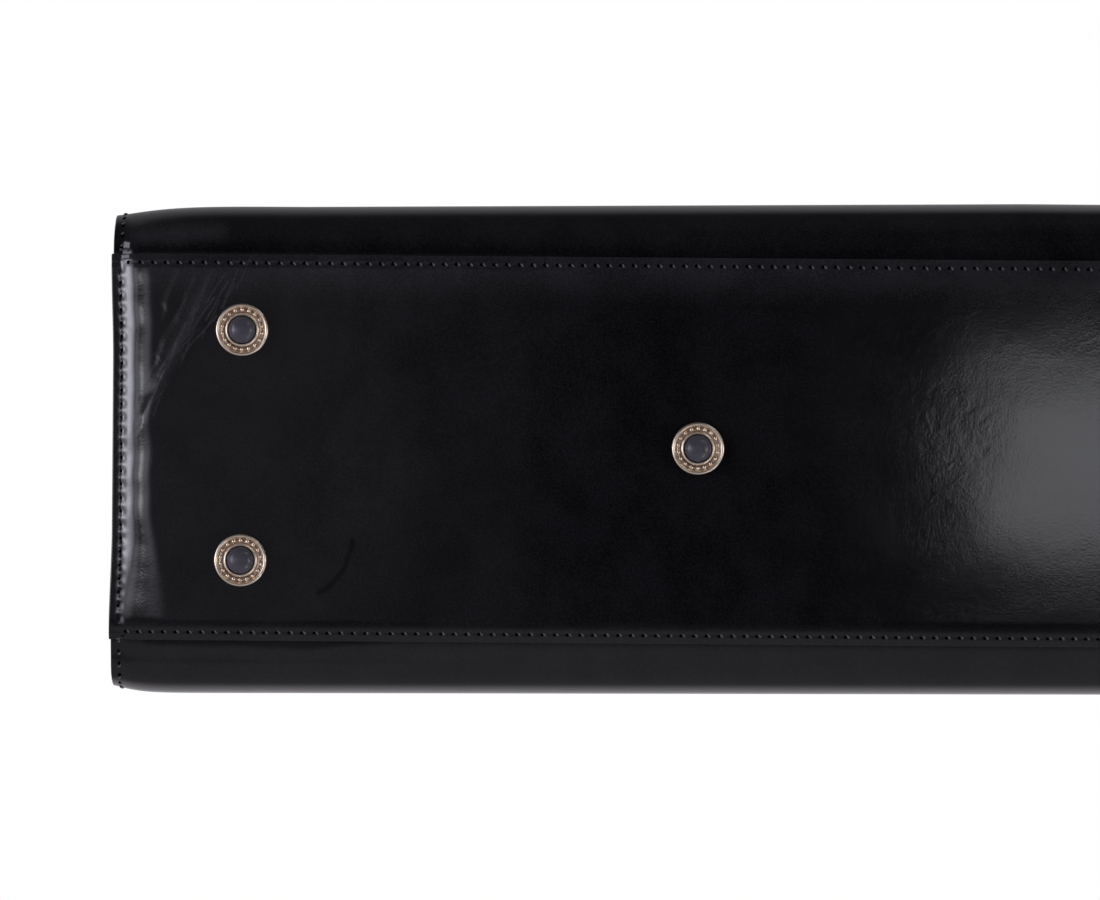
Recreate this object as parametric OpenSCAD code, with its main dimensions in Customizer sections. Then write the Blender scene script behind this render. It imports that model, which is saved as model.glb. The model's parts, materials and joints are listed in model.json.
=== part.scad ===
// Doctor bag with a hinged mouth frame, standing upright on five feet.
// Sizes are in millimetres. X runs along the base, -Y is the front and +Z is up.
// The origin is on the floor, under the middle of the base.

/* [Body] */
// Length of the body along the base, end to end
body_l = 432; // [400:1:460]
// Depth of the body at its fullest, front to back
body_d = 178; // [166:1:190]
// Height of the closed frame's top above the floor
body_h = 284; // [274:1:300]
// Outside radius of the turn between the base and the walls
turn_r = 18; // [15:1:20]
// Height over which the walls rise upright before they lean in
belly_rise = 165; // [145:1:180]
// Height over which the walls hang nearly straight down from the frame
shoulder_drop = 56; // [45:1:65]
// How far the walls have spread at the foot of that drop
shoulder_flare = 6; // [4:0.5:9]
// Height at which the ends of the walls begin to draw in
draw_in_z = 110; // [90:1:130]
// How far each end of the walls has drawn in at the frame
draw_in = 7; // [5:0.5:9]

/* [Leather and lining] */
// Thickness of the outer leather
leather_t = 2; // [1.6:0.1:2.4]
// Thickness of the cloth lining
lining_t = 1; // [0.6:0.1:1.4]
// Thickness of the stiffening boards in the walls
board_t = 1.6; // [1.2:0.1:2]
// Height of the top of those boards above the floor
board_top = 138; // [134:1:142]
// Width of the seam that stands out past each gusset
seam_w = 8; // [6:0.5:10]

/* [Base] */
// Width of the base panel, from one long edge to the other
base_w = 141; // [132:1:142]
// How far the base panel laps over the lower edge of each wall
base_lap = 9; // [7:0.5:11]
// Thickness of the board inside the base
base_board_t = 3; // [2.4:0.2:4]

/* [Feet] */
// Height of a foot, from the floor to the base panel
foot_h = 5.5; // [5:0.1:6.5]
// Outside diameter of a foot's metal ring
ring_d = 19.3; // [18:0.1:21]
// Height of that ring
ring_h = 3; // [2.6:0.1:3.4]
// Diameter of the dark stud inside the ring
stud_d = 10.6; // [10:0.1:11.2]
// Diameter of the flat that a stud stands on
stud_flat_d = 6; // [4:0.5:7]
// How far the stud's flange stands out inside the ring
stud_flange_w = 1.6; // [1.2:0.1:1.8]
// Thickness of that flange
stud_flange_t = 1; // [0.8:0.1:1.2]
// Width of the ring's raised rim
ring_rim_w = 1.2; // [1:0.1:1.5]
// Depth of the dished band inside that rim
ring_dish_h = 0.8; // [0.5:0.1:1]
// Diameter of a foot's post
post_d = 4; // [3.4:0.1:4.6]
// Diameter of the post's head inside the stud
post_head_d = 6.8; // [6:0.1:7.4]
// Thickness of that head
post_head_t = 1.2; // [0.8:0.1:1.4]
// Height of that head above the floor
post_head_z = 2; // [1.6:0.1:2.4]
// Diameter of the washer that holds a foot inside the base
washer_d = 16; // [13:0.5:18]
// Thickness of that washer
washer_t = 1; // [0.6:0.1:1.4]
// Distance between the end feet along the base
foot_span_x = 337; // [310:1:350]
// Distance between the end feet across the base
foot_span_y = 85; // [78:1:92]

/* [Mouth frame] */
// Width of a frame rail, front to back
rail_w = 9; // [8:0.5:10]
// Depth of a frame rail, from its outer face to its open mouth
rail_depth = 11; // [10:0.5:13]
// Wall thickness of a rail's channel
rail_t = 1.5; // [1.2:0.1:1.8]
// Thickness of the leather that covers a rail
cover_t = 1.5; // [1.2:0.1:1.8]
// Gap between the two closed halves of the frame
frame_gap = 1; // [0.8:0.1:1.6]
// Height of the frame's top above the hinge pins
leg_drop = 124; // [115:1:128]
// Distance from the end of the body to the covered end of the frame
frame_inset = 6; // [4:0.5:8]
// Outside radius of the frame's top corners
corner_r = 16; // [14:0.5:24]

/* [Frame hinge] */
// Diameter of a hinge pin
hinge_pin_d = 5; // [4:0.1:6]
// Outside radius of a hinge eye
eye_r = 7.5; // [6.5:0.1:8]
// Thickness of a hinge eye
eye_t = 3; // [2.4:0.1:3.4]
// Diameter of a hinge pin's outer head
pin_head_d = 12; // [10:0.5:14]
// Thickness of that head
pin_head_t = 2; // [1.5:0.1:2.5]
// Width of a hinge bracket
bracket_w = 16; // [12:0.5:20]
// Thickness of a hinge bracket
bracket_t = 2; // [1.5:0.1:2.5]
// Height from a hinge pin down to the step in its bracket
bracket_drop = 28; // [22:1:34]
// Height of the part of a hinge bracket that is riveted to the end board
bracket_foot_h = 26; // [24:1:30]
// Distance of a rivet from the end of that part
rivet_edge = 6; // [5:0.5:8]
// Thickness of a rivet's head
rivet_head_t = 0.8; // [0.6:0.1:1.2]
// Gap between a hinge eye and the end of its leg
eye_gap = 1.5; // [1:0.1:2.5]
// Height of the solid root of a leg above its end
leg_root_h = 8; // [6:0.5:12]
// Diameter of the rivets in a hinge bracket
rivet_d = 3; // [2.5:0.1:3.5]

/* [Lock] */
// Length of the lock along the frame
lock_l = 60; // [56:1:66]
// Height of the lock above the frame
lock_h = 5.5; // [5.2:0.1:7]
// Corner radius of the lock's plates
lock_r = 3; // [2:0.5:4]
// Travel of the lock's slide
slide_travel = 6; // [5:0.1:7]
// Width of the bolt under the slide
bolt_w = 3; // [2.6:0.1:3.4]
// Thickness of the strike plate's hooked tongue
tongue_t = 2; // [1.6:0.1:2.4]
// Depth of that bolt, front to back
bolt_d = 3; // [2.6:0.1:3.2]
// Width of the tongue's neck
tongue_w = 4; // [3:0.5:5]
// How far the tongue's hook reaches past the middle of the frame
hook_reach = 8; // [7.6:0.1:8.6]
// Thickness of the hook
hook_t = 2; // [1.6:0.1:2.2]
// Length of the slide's thumb piece
thumb_l = 11; // [10:0.5:12]
// Width of the slide's thumb piece
thumb_w = 6; // [5:0.5:6.5]
// Height of the slide's thumb piece
thumb_h = 2.4; // [2:0.1:3]
// Diameter of the key barrel
barrel_d = 8; // [7:0.1:9]
// Distance of the key barrel from the middle of the lock
barrel_x = 17; // [15:0.5:18]
// Distance of the lock's screws from the ends of its plates
lock_screw_edge = 5; // [4:0.5:6]
// Thickness of the lock's floor under the barrel and the tongue
lock_floor_t = 1; // [0.8:0.1:1.2]
// Thickness of the screw heads
screw_head_t = 1.3; // [1:0.1:1.6]
// Diameter of the screw heads in the lock and the handle brackets
screw_head_d = 4.6; // [4:0.1:5]
// Diameter of those screws
screw_d = 2.4; // [2:0.1:2.8]

/* [Handle] */
// Distance between the handle's two pivots
handle_span = 160; // [140:1:180]
// Height of the handle's pivots above the frame
handle_pivot_h = 13; // [12.6:0.2:16]
// Length of the upright part of the grip above its ferrule's floor
grip_rise = 10; // [8:0.5:16]
// Radius of the grip's bends, along its middle line
grip_bend_r = 32; // [26:1:40]
// Diameter of the grip at its ends
grip_d = 17; // [14:0.5:18]
// Diameter of the grip at its middle
grip_mid_d = 22; // [20:0.5:26]
// Diameter of the core inside the grip
core_d = 8; // [6:0.5:10]
// Wall thickness of the ferrules on the grip's ends
ferrule_t = 1; // [0.8:0.1:1.2]
// Thickness of the tongue under a ferrule
ferrule_tongue_t = 6.8; // [6:0.1:8]
// Diameter of a handle pin
handle_pin_d = 4; // [3.4:0.1:4.6]
// Thickness of a bracket's ears and base
ear_t = 2.4; // [2:0.1:2.8]
// Width of a bracket's ears, front to back
ear_w = 10; // [9:0.5:11]
// Height from a handle pin to the underside of its ferrule's cup
ferrule_rise = 6; // [5.6:0.2:8]
// Thickness of the floor of that cup
ferrule_floor = 2; // [1.5:0.1:2.5]
// Height of that cup
ferrule_h = 12; // [10:0.5:14]
// Distance of a bracket's screws from the ends of its base
handle_screw_edge = 3.6; // [3.2:0.1:4]
// Length of a handle bracket's base along the frame
handle_base_l = 34; // [32:1:40]

/* [Fits] */
// Radial clearance of a running fit
run_fit = 0.05; // [0.03:0.01:0.1]
// Gap between pieces that only pass each other
gap = 0.4; // [0.3:0.05:0.5]

/* [Hidden] */
$fn = 64;
wall_steps = 14;
turn_steps = 6;

half_l = body_l / 2;
half_d = body_d / 2;

// Heights of the base's layers: base panel, turned-in wall edges, board, lining
wrap_z = foot_h + leather_t;
under_board_z = wrap_z + leather_t;
over_board_z = under_board_z + base_board_t;
inside_z = over_board_z + lining_t;

// Centre of the turn, and the inner edge of the wall under the base panel
turn_y = half_d - turn_r;
turn_z = wrap_z + turn_r;
lap_y = base_w / 2 - base_lap;

// Faces of the end walls, from the outside in
gusset_x = half_l - seam_w;
gusset_in_x = gusset_x - leather_t;
end_board_in_x = gusset_in_x - board_t;
end_lining_in_x = end_board_in_x - lining_t;

// The frame: half length, middle of a closed half, and its main heights
frame_half_l = half_l - frame_inset;
rail_half_l = frame_half_l - cover_t;
rail_in_x = rail_half_l - rail_depth;
frame_y = frame_gap / 2 + cover_t + rail_w / 2;
cover_w = rail_w + 2 * cover_t;
rail_top = body_h - cover_t;
rail_mouth_z = rail_top - rail_depth;
pivot_z = body_h - leg_drop;
leg_end_z = pivot_z + eye_r + eye_gap;
cover_end_z = leg_end_z + 2 * eye_gap;
wall_top = rail_mouth_z - gap;
inner_corner_r = max(1, corner_r - cover_t - rail_depth);

// Hinge bracket: inner plate clear of the legs, foot riveted below the end board's top
bracket_x = rail_in_x - gap - bracket_t;
bracket_step_z = pivot_z - bracket_drop;
bracket_hold_z = min(bracket_step_z, board_top);
bracket_end_z = bracket_hold_z - bracket_foot_h;

// Lock: heights of the tongue's slot and the bolt inside it
slot_z = body_h + lock_floor_t + gap;
slot_h = tongue_t + 2 * gap;
bolt_y = hook_reach - hook_t - bolt_d;
lock_in_y = frame_gap / 2 + gap / 2;
lock_top = body_h + lock_h;
lock_screw_x = lock_l / 2 - lock_screw_edge;

// Handle: pivot and the foot of the grip
handle_z = body_h + handle_pivot_h;
handle_x = handle_span / 2;
ferrule_z = handle_z + ferrule_rise;
grip_z = ferrule_z + ferrule_floor;
bend_z = grip_z + grip_rise + ferrule_floor;
grip_top_z = bend_z + grip_bend_r;
ear_in_x = ferrule_tongue_t / 2 + gap / 2;
handle_screw_x = handle_base_l / 2 - handle_screw_edge;

feet = [for (sx = [-1, 1], sy = [-1, 1]) [sx * foot_span_x / 2, sy * foot_span_y / 2], [0, 0]];

// Colours
black_leather = [0.05, 0.05, 0.06];
lining_tan = [0.55, 0.42, 0.28];
board_grey = [0.45, 0.44, 0.42];
pale_gold = [0.80, 0.70, 0.52];
steel = [0.60, 0.61, 0.62];
stud_grey = [0.20, 0.20, 0.21];

// A profile in Y and Z, run along X from x0 to x1
module along_x(x0, x1) {
    translate([x0, 0, 0]) rotate([90, 0, 90]) linear_extrude(x1 - x0) children();
}

// An outline in X and Z, run along Y from y0 to y1
module along_y(y0, y1) {
    translate([0, y1, 0]) rotate([90, 0, 0]) linear_extrude(y1 - y0) children();
}

// The left copy of a piece that is modelled at the right end
module at_left() {
    mirror([1, 0, 0]) children();
}

// The rear copy of a piece that is modelled at the front
module at_rear() {
    mirror([0, 1, 0]) children();
}

module cylinder_x(x0, x1, r) {
    translate([x0, 0, 0]) rotate([0, 90, 0]) cylinder(h = x1 - x0, r = r);
}

// Wall curve: a cubic from the top of the turn to the frame, seen from the end
wall_from = [-half_d, turn_z];
wall_to = [-(frame_y + (leather_t + lining_t) / 2), wall_top];
wall_ctrl = [
    wall_from,
    wall_from + [0, belly_rise],
    wall_to - [shoulder_flare, shoulder_drop],
    wall_to
];

function curve_at(p, t) =
    pow(1 - t, 3) * p[0] + 3 * t * pow(1 - t, 2) * p[1] + 3 * t * t * (1 - t) * p[2] + pow(t, 3) * p[3];

function curve_slope(p, t) =
    pow(1 - t, 2) * (p[1] - p[0]) + 2 * t * (1 - t) * (p[2] - p[1]) + t * t * (p[3] - p[2]);

function inward(slope) = [slope[1], -slope[0]] / norm(slope);

// The front wall's line at a depth below the outer face, from the lapped edge up to the frame
function wall_line(depth) = concat(
    [[-lap_y, wrap_z + depth]],
    [for (i = [0 : turn_steps])
        let (a = 270 - 90 * i / turn_steps)
            [-turn_y, turn_z] + (turn_r - depth) * [cos(a), sin(a)]],
    [for (i = [1 : wall_steps])
        let (t = i / wall_steps)
            curve_at(wall_ctrl, t) + depth * inward(curve_slope(wall_ctrl, t))]
);

function reversed(list) = [for (i = [len(list) - 1 : -1 : 0]) list[i]];

// Section of one layer of the front wall
module wall_layer(outer, inner) {
    polygon(concat(wall_line(outer), reversed(wall_line(inner))));
}

// Everything between the two walls below a depth, seen from the end
module between_walls(depth) {
    line = wall_line(depth);
    polygon(concat(line, reversed([for (p = line) [-p[0], p[1]]])));
}

// A band of heights, wide enough for any section
module heights(z0, z1) {
    translate([-body_d, z0]) square([2 * body_d, z1 - z0]);
}

// Outline of the walls seen from the front, drawn in towards the frame
module front_outline() {
    top_x = half_l - draw_in;
    polygon([
        [-half_l, 0], [half_l, 0], [half_l, draw_in_z],
        [top_x, body_h], [-top_x, body_h], [-half_l, draw_in_z]
    ]);
}

// Room for the frame's legs, corners and hinge eyes through the end walls and wall corners
module leg_room() {
    in_x = rail_in_x - inner_corner_r - gap;
    half_w = cover_w + frame_gap / 2 + gap;
    for (side = [-1, 1])
        translate([side * half_l - (half_l - in_x), -half_w, pivot_z - eye_r - gap])
            cube([2 * (half_l - in_x), 2 * half_w, body_h]);
}

// A shape at each foot's place
module each_foot() {
    for (f = feet) translate([f[0], f[1], 0]) children();
}

module base_panel() {
    color(black_leather) difference() {
        translate([-half_l, -base_w / 2, foot_h]) cube([body_l, base_w, leather_t]);
        each_foot() cylinder(h = under_board_z, r = post_d / 2 + run_fit);
    }
}

// Filling between the lapped edges of the two walls
module base_filler() {
    color(board_grey) difference() {
        translate([-half_l, -lap_y, wrap_z]) cube([body_l, 2 * lap_y, leather_t]);
        each_foot() cylinder(h = over_board_z, r = post_d / 2 + run_fit);
    }
}

// Base board, as wide as the base panel and trimmed to the turns of the walls
module base_board() {
    color(board_grey) difference() {
        along_x(-gusset_in_x, gusset_in_x) intersection() {
            translate([-base_w / 2, under_board_z]) square([base_w, base_board_t]);
            between_walls(leather_t);
        }
        each_foot() cylinder(h = inside_z, r = post_d / 2 + run_fit);
        each_foot() translate([0, 0, over_board_z - washer_t])
            cylinder(h = base_board_t, r = washer_d / 2 + run_fit);
    }
}

module base_lining() {
    half_w = turn_y + turn_r / 3;
    color(lining_tan) translate([-end_board_in_x, -half_w, over_board_z])
        cube([2 * end_board_in_x, 2 * half_w, lining_t]);
}

// Foot ring: a raised rim, a dished band and a seat for the stud's flange
module foot_rings() {
    face = foot_h - ring_h;
    r = ring_d / 2;
    in_r = stud_d / 2 + 2 * run_fit;
    seat_r = in_r + stud_flange_w + run_fit;
    seat_z = foot_h - stud_flange_t;
    lip_w = ring_rim_w / 2;
    dish_z = face + ring_dish_h;
    round_r = ring_rim_w / 4;
    color(pale_gold) each_foot() rotate_extrude() polygon([
        [in_r, dish_z - ring_dish_h / 2], [in_r + lip_w, dish_z - ring_dish_h / 2],
        [in_r + lip_w + round_r, dish_z], [r - ring_rim_w, dish_z], [r - ring_rim_w + round_r, face],
        [r - round_r, face], [r, face + round_r], [r, foot_h],
        [seat_r, foot_h], [seat_r, seat_z], [in_r, seat_z]
    ]);
}

// Foot stud: a dome with a flat to stand on, a flange, and a socket for the post
module foot_studs() {
    r = stud_d / 2;
    flat_r = stud_flat_d / 2;
    dome_h = foot_h - ring_h;
    flange_r = r + stud_flange_w;
    flange_z = foot_h - stud_flange_t + run_fit;
    dome = [for (i = [0 : 6])
        let (a = 90 * i / 6) [flat_r + (r - flat_r) * sin(a), dome_h * (1 - cos(a))]];
    color(stud_grey) each_foot() difference() {
        rotate_extrude() polygon(concat([[0, 0]], dome, [
            [r, flange_z], [flange_r, flange_z], [flange_r, foot_h], [0, foot_h]
        ]));
        translate([0, 0, post_head_z - run_fit])
            cylinder(h = post_head_t + 2 * run_fit, r = post_head_d / 2 + run_fit);
        translate([0, 0, post_head_z]) cylinder(h = foot_h, r = post_d / 2 + run_fit);
    }
}

module foot_posts() {
    color(steel) each_foot() {
        translate([0, 0, post_head_z]) cylinder(h = post_head_t, r = post_head_d / 2);
        translate([0, 0, post_head_z]) cylinder(h = over_board_z - post_head_z, r = post_d / 2);
    }
}

module foot_washers() {
    color(steel) each_foot() translate([0, 0, over_board_z - washer_t]) difference() {
        cylinder(h = washer_t, r = washer_d / 2);
        translate([0, 0, -washer_t]) cylinder(h = 3 * washer_t, r = post_d / 2 + run_fit);
    }
}

// Leather wall: laps under the base panel, turns up and leans in to the frame
module wall_panel() {
    color(black_leather) difference() {
        intersection() {
            along_x(-half_l, half_l) wall_layer(0, leather_t);
            along_y(-body_d, 0) front_outline();
        }
        leg_room();
    }
}

module front_panel() { wall_panel(); }
module back_panel() { at_rear() wall_panel(); }

// Gusset: a flat end wall with an outward flange that is sewn to the walls and base
module gusset() {
    color(black_leather) difference() {
        union() {
            along_x(gusset_in_x, gusset_x) between_walls(leather_t);
            intersection() {
                along_x(gusset_x, half_l) difference() {
                    between_walls(leather_t);
                    between_walls(2 * leather_t);
                }
                along_y(-body_d, body_d) front_outline();
            }
        }
        leg_room();
    }
}

module right_gusset() { gusset(); }
module left_gusset() { at_left() gusset(); }

// Stiffening board in the lower part of a wall
module wall_board() {
    color(board_grey) along_x(-end_board_in_x, end_board_in_x) intersection() {
        wall_layer(leather_t, leather_t + board_t);
        heights(inside_z, board_top);
    }
}

module front_board() { wall_board(); }
module back_board() { at_rear() wall_board(); }

module end_board() {
    color(board_grey) difference() {
        along_x(end_board_in_x, gusset_in_x) intersection() {
            between_walls(leather_t + board_t + lining_t);
            heights(over_board_z, board_top);
        }
        leg_room();
        bracket_rivet_holes();
    }
}

module right_end_board() { end_board(); }
module left_end_board() { at_left() end_board(); }

module wall_lining() {
    depth = leather_t + board_t;
    color(lining_tan) difference() {
        along_x(-end_lining_in_x, end_lining_in_x) intersection() {
            wall_layer(depth, depth + lining_t);
            heights(inside_z, wall_top);
        }
        leg_room();
    }
}

module front_lining() { wall_lining(); }
module back_lining() { at_rear() wall_lining(); }

module gusset_lining() {
    color(lining_tan) difference() {
        along_x(end_lining_in_x, end_board_in_x) intersection() {
            between_walls(leather_t + board_t + lining_t);
            heights(inside_z, wall_top);
        }
        leg_room();
        bracket_rivet_holes();
    }
}

module right_gusset_lining() { gusset_lining(); }
module left_gusset_lining() { at_left() gusset_lining(); }

rivet_zs = [bracket_hold_z - rivet_edge, bracket_end_z + rivet_edge];

module bracket_rivet_holes() {
    for (z = rivet_zs) translate([0, 0, z])
        cylinder_x(bracket_x, gusset_x, rivet_d / 2 + run_fit);
}

// Hinge bracket: a foot on the end lining, a step in, and an inner plate that holds the pin
module hinge_bracket() {
    foot_x = end_lining_in_x - bracket_t;
    color(steel) difference() {
        along_y(-bracket_w / 2, bracket_w / 2) polygon([
            [end_lining_in_x, bracket_end_z], [end_lining_in_x, bracket_step_z],
            [bracket_x + bracket_t, bracket_step_z], [bracket_x + bracket_t, pivot_z + eye_r],
            [bracket_x, pivot_z + eye_r], [bracket_x, bracket_step_z - bracket_t],
            [foot_x, bracket_step_z - bracket_t], [foot_x, bracket_end_z]
        ]);
        translate([0, 0, pivot_z]) cylinder_x(bracket_x - 1, half_l, hinge_pin_d / 2 + run_fit);
        bracket_rivet_holes();
    }
}

module right_hinge_bracket() { hinge_bracket(); }
module left_hinge_bracket() { at_left() hinge_bracket(); }

// Rivets through the bracket's foot, the end lining and the end board
module bracket_rivets() {
    head_x = end_lining_in_x - bracket_t;
    for (z = rivet_zs) translate([0, 0, z]) {
        cylinder_x(head_x, gusset_in_x, rivet_d / 2);
        cylinder_x(head_x - rivet_head_t, head_x, rivet_d);
    }
}

module hinge_bracket_rivets() {
    color(steel) {
        bracket_rivets();
        at_left() bracket_rivets();
    }
}

// Hinge pin, with a domed head outside and a peened head behind the bracket
module hinge_pin() {
    r = hinge_pin_d / 2;
    head_r = pin_head_d / 2;
    head_x = rail_half_l + gap;
    color(pale_gold) translate([0, 0, pivot_z]) {
        cylinder_x(bracket_x, head_x, r);
        cylinder_x(bracket_x - 1.2, bracket_x, r + 1);
        translate([head_x, 0, 0]) rotate([0, 90, 0]) rotate_extrude() polygon([
            [0, 0], [head_r, 0], [head_r, pin_head_t * 0.35], [head_r * 0.8, pin_head_t * 0.75],
            [head_r * 0.45, pin_head_t], [0, pin_head_t]
        ]);
    }
}

module right_hinge_pin() { hinge_pin(); }
module left_hinge_pin() { at_left() hinge_pin(); }

// A rectangle with rounded upper corners, standing on z0
module arch(half_w, z0, z1, r) {
    translate([-half_w, z0]) square([2 * half_w, z1 - r - z0]);
    translate([-half_w + r, z0]) square([2 * (half_w - r), z1 - z0]);
    for (s = [-1, 1]) translate([s * (half_w - r), z1 - r]) circle(r);
}

// Eye of one half of the hinge, with the link and the root that carry it on the leg
module hinge_eye(x1) {
    rise = leg_end_z - pivot_z;
    along_x(x1 - eye_t, x1) {
        translate([0, pivot_z]) circle(eye_r);
        translate([0, pivot_z]) rotate(atan2(frame_y, rise)) translate([-rail_w / 2, 0])
            square([rail_w, norm([frame_y, rise])]);
        translate([-frame_y - rail_w / 2, leg_end_z]) square([rail_w, leg_root_h]);
    }
}

screw_holes_front = [for (s = [-1, 1]) s * lock_screw_x];
screw_holes_rear = concat(screw_holes_front,
    [for (side = [-1, 1], s = [-1, 1]) side * handle_x + s * handle_screw_x]);

module frame_screw_holes(xs) {
    for (x = xs) translate([x, -frame_y, rail_mouth_z])
        cylinder(h = body_h, r = screw_d / 2 + run_fit);
}

// Half of the mouth frame: a channel bent into a U, open to the inside, with an eye on each leg
module rail(eye_x, screw_xs) {
    color(steel) difference() {
        union() {
            difference() {
                along_y(-frame_y - rail_w / 2, -frame_y + rail_w / 2) difference() {
                    arch(rail_half_l, leg_end_z, rail_top, corner_r - cover_t);
                    arch(rail_in_x, leg_end_z - 1, rail_mouth_z, inner_corner_r);
                }
                along_y(-frame_y - rail_w / 2 + rail_t, -frame_y + rail_w / 2 - rail_t)
                    arch(rail_half_l - rail_t, leg_end_z - 1, rail_top - rail_t, corner_r - cover_t - rail_t);
            }
            hinge_eye(eye_x);
            at_left() hinge_eye(eye_x);
        }
        translate([0, 0, pivot_z]) cylinder_x(-half_l, half_l, hinge_pin_d / 2 + run_fit);
        frame_screw_holes(screw_xs);
    }
}

front_eye_x = rail_half_l;
rear_eye_x = front_eye_x - eye_t - gap;

module front_rail() { rail(front_eye_x, screw_holes_front); }
module rear_rail() { at_rear() rail(rear_eye_x, screw_holes_rear); }

// Leather folded over a rail, open on the inside like the rail itself
module rail_cover(screw_xs) {
    color(black_leather) difference() {
        along_y(-frame_y - cover_w / 2, -frame_y + cover_w / 2) difference() {
            arch(frame_half_l, cover_end_z, body_h, corner_r);
            arch(rail_in_x, cover_end_z - 1, rail_mouth_z, inner_corner_r);
        }
        along_y(-frame_y - rail_w / 2, -frame_y + rail_w / 2)
            arch(rail_half_l, cover_end_z - 1, rail_top, corner_r - cover_t);
        frame_screw_holes(screw_xs);
    }
}

module front_rail_cover() { rail_cover(screw_holes_front); }
module rear_rail_cover() { at_rear() rail_cover(screw_holes_rear); }

// Outline of half of the lock from above, with rounded outer corners
module lock_outline() {
    outer_y = frame_y + cover_w / 2;
    translate([-lock_l / 2, -outer_y + lock_r]) square([lock_l, outer_y - lock_r - lock_in_y]);
    translate([-lock_l / 2 + lock_r, -outer_y]) square([lock_l - 2 * lock_r, outer_y - lock_in_y]);
    for (s = [-1, 1]) translate([s * (lock_l / 2 - lock_r), -outer_y + lock_r]) circle(lock_r);
}

module lock_screw_seats() {
    for (x = screw_holes_front) translate([x, -frame_y, body_h]) {
        translate([0, 0, -1]) cylinder(h = lock_h + 2, r = screw_d / 2 + run_fit);
        translate([0, 0, lock_h - lock_floor_t]) cylinder(h = lock_h, r = screw_head_d / 2 + run_fit);
    }
}

// Strike plate on the front half, with a hooked tongue that reaches into the lock case
module strike_plate() {
    color(pale_gold) difference() {
        union() {
            translate([0, 0, body_h]) linear_extrude(lock_h) lock_outline();
            translate([0, -lock_in_y - 1, slot_z + gap])
                cube([tongue_w, hook_reach + lock_in_y + 1, tongue_t]);
            translate([-tongue_w, hook_reach - hook_t, slot_z + gap])
                cube([2 * tongue_w, hook_t, tongue_t]);
        }
        lock_screw_seats();
    }
}

// Lock case on the rear half: a slot for the tongue, a slot for the bolt, a bore for the barrel
module lock_case() {
    bolt_x0 = -bolt_w - slide_travel - gap;
    color(pale_gold) difference() {
        translate([0, 0, body_h]) linear_extrude(lock_h) mirror([0, 1]) lock_outline();
        at_rear() lock_screw_seats();
        translate([bolt_x0, 0, slot_z])
            cube([tongue_w + gap - bolt_x0, hook_reach + gap, slot_h]);
        translate([bolt_x0, bolt_y - gap, slot_z])
            cube([gap - bolt_x0, bolt_d + gap, lock_h]);
        translate([barrel_x, frame_y, body_h + lock_floor_t])
            cylinder(h = lock_h, r = barrel_d / 2 + run_fit);
    }
}

// Slide that carries the bolt, drawn at the open end of its travel
module lock_slide() {
    bolt_x = -bolt_w - slide_travel;
    thumb_y = bolt_y + (bolt_d - gap - thumb_w) / 2;
    groove_w = thumb_l / 14;
    color(pale_gold) {
        translate([bolt_x, bolt_y, slot_z + gap / 2])
            cube([bolt_w, bolt_d - gap, lock_top + gap - slot_z]);
        difference() {
            translate([bolt_x + (bolt_w - thumb_l) / 2, thumb_y, lock_top + gap / 2])
                cube([thumb_l, thumb_w, thumb_h]);
            for (i = [-1 : 1]) {
                groove_x = bolt_x + (bolt_w - groove_w) / 2 + 3 * groove_w * i;
                translate([groove_x, thumb_y - gap, lock_top + thumb_h * 0.85])
                    cube([groove_w, thumb_w + 2 * gap, thumb_h]);
            }
        }
    }
}

module key_barrel() {
    key_w = barrel_d * 0.15;
    key_l = barrel_d * 0.65;
    color(pale_gold) translate([barrel_x, frame_y, body_h + lock_floor_t]) difference() {
        cylinder(h = lock_h - lock_floor_t + gap, r = barrel_d / 2);
        translate([-key_w / 2, -key_l / 2, lock_h * 0.4]) cube([key_w, key_l, lock_h]);
    }
}

// Screw with a slotted head at a height, its shank down into the rail
module frame_screw(head_z) {
    translate([0, 0, rail_top - rail_t]) cylinder(h = head_z - rail_top + rail_t, r = screw_d / 2);
    slot_w = screw_head_d / 8;
    translate([0, 0, head_z]) difference() {
        cylinder(h = screw_head_t, r = screw_head_d / 2);
        translate([-screw_head_d, -slot_w / 2, screw_head_t / 2])
            cube([2 * screw_head_d, slot_w, screw_head_t]);
    }
}

module lock_screw_pair() {
    for (x = screw_holes_front) translate([x, -frame_y, 0]) frame_screw(lock_top - lock_floor_t);
}

module strike_screws() { color(pale_gold) lock_screw_pair(); }
module lock_screws() { color(pale_gold) at_rear() lock_screw_pair(); }

// Bracket for one end of the handle: a base on the frame and two ears for the pin
module handle_bracket() {
    color(pale_gold) translate([handle_x, frame_y, 0]) difference() {
        union() {
            translate([-handle_base_l / 2, -rail_w / 2, body_h]) cube([handle_base_l, rail_w, ear_t]);
            for (s = [-1, 1]) translate([s * (ear_in_x + ear_t / 2) - ear_t / 2, 0, 0])
                along_x(0, ear_t) {
                    translate([-ear_w / 2, body_h]) square([ear_w, handle_pivot_h]);
                    translate([0, handle_z]) circle(ear_w / 2);
                }
        }
        translate([0, 0, handle_z]) cylinder_x(-handle_base_l, handle_base_l, handle_pin_d / 2 + run_fit);
        for (s = [-1, 1]) translate([s * handle_screw_x, 0, body_h - 1])
            cylinder(h = ear_t + 2, r = screw_d / 2 + run_fit);
    }
}

module right_handle_bracket() { handle_bracket(); }
module left_handle_bracket() { at_left() handle_bracket(); }

module handle_bracket_screws() {
    color(pale_gold) for (side = [-1, 1], s = [-1, 1])
        translate([side * handle_x + s * handle_screw_x, frame_y, 0]) frame_screw(body_h + ear_t);
}

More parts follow.
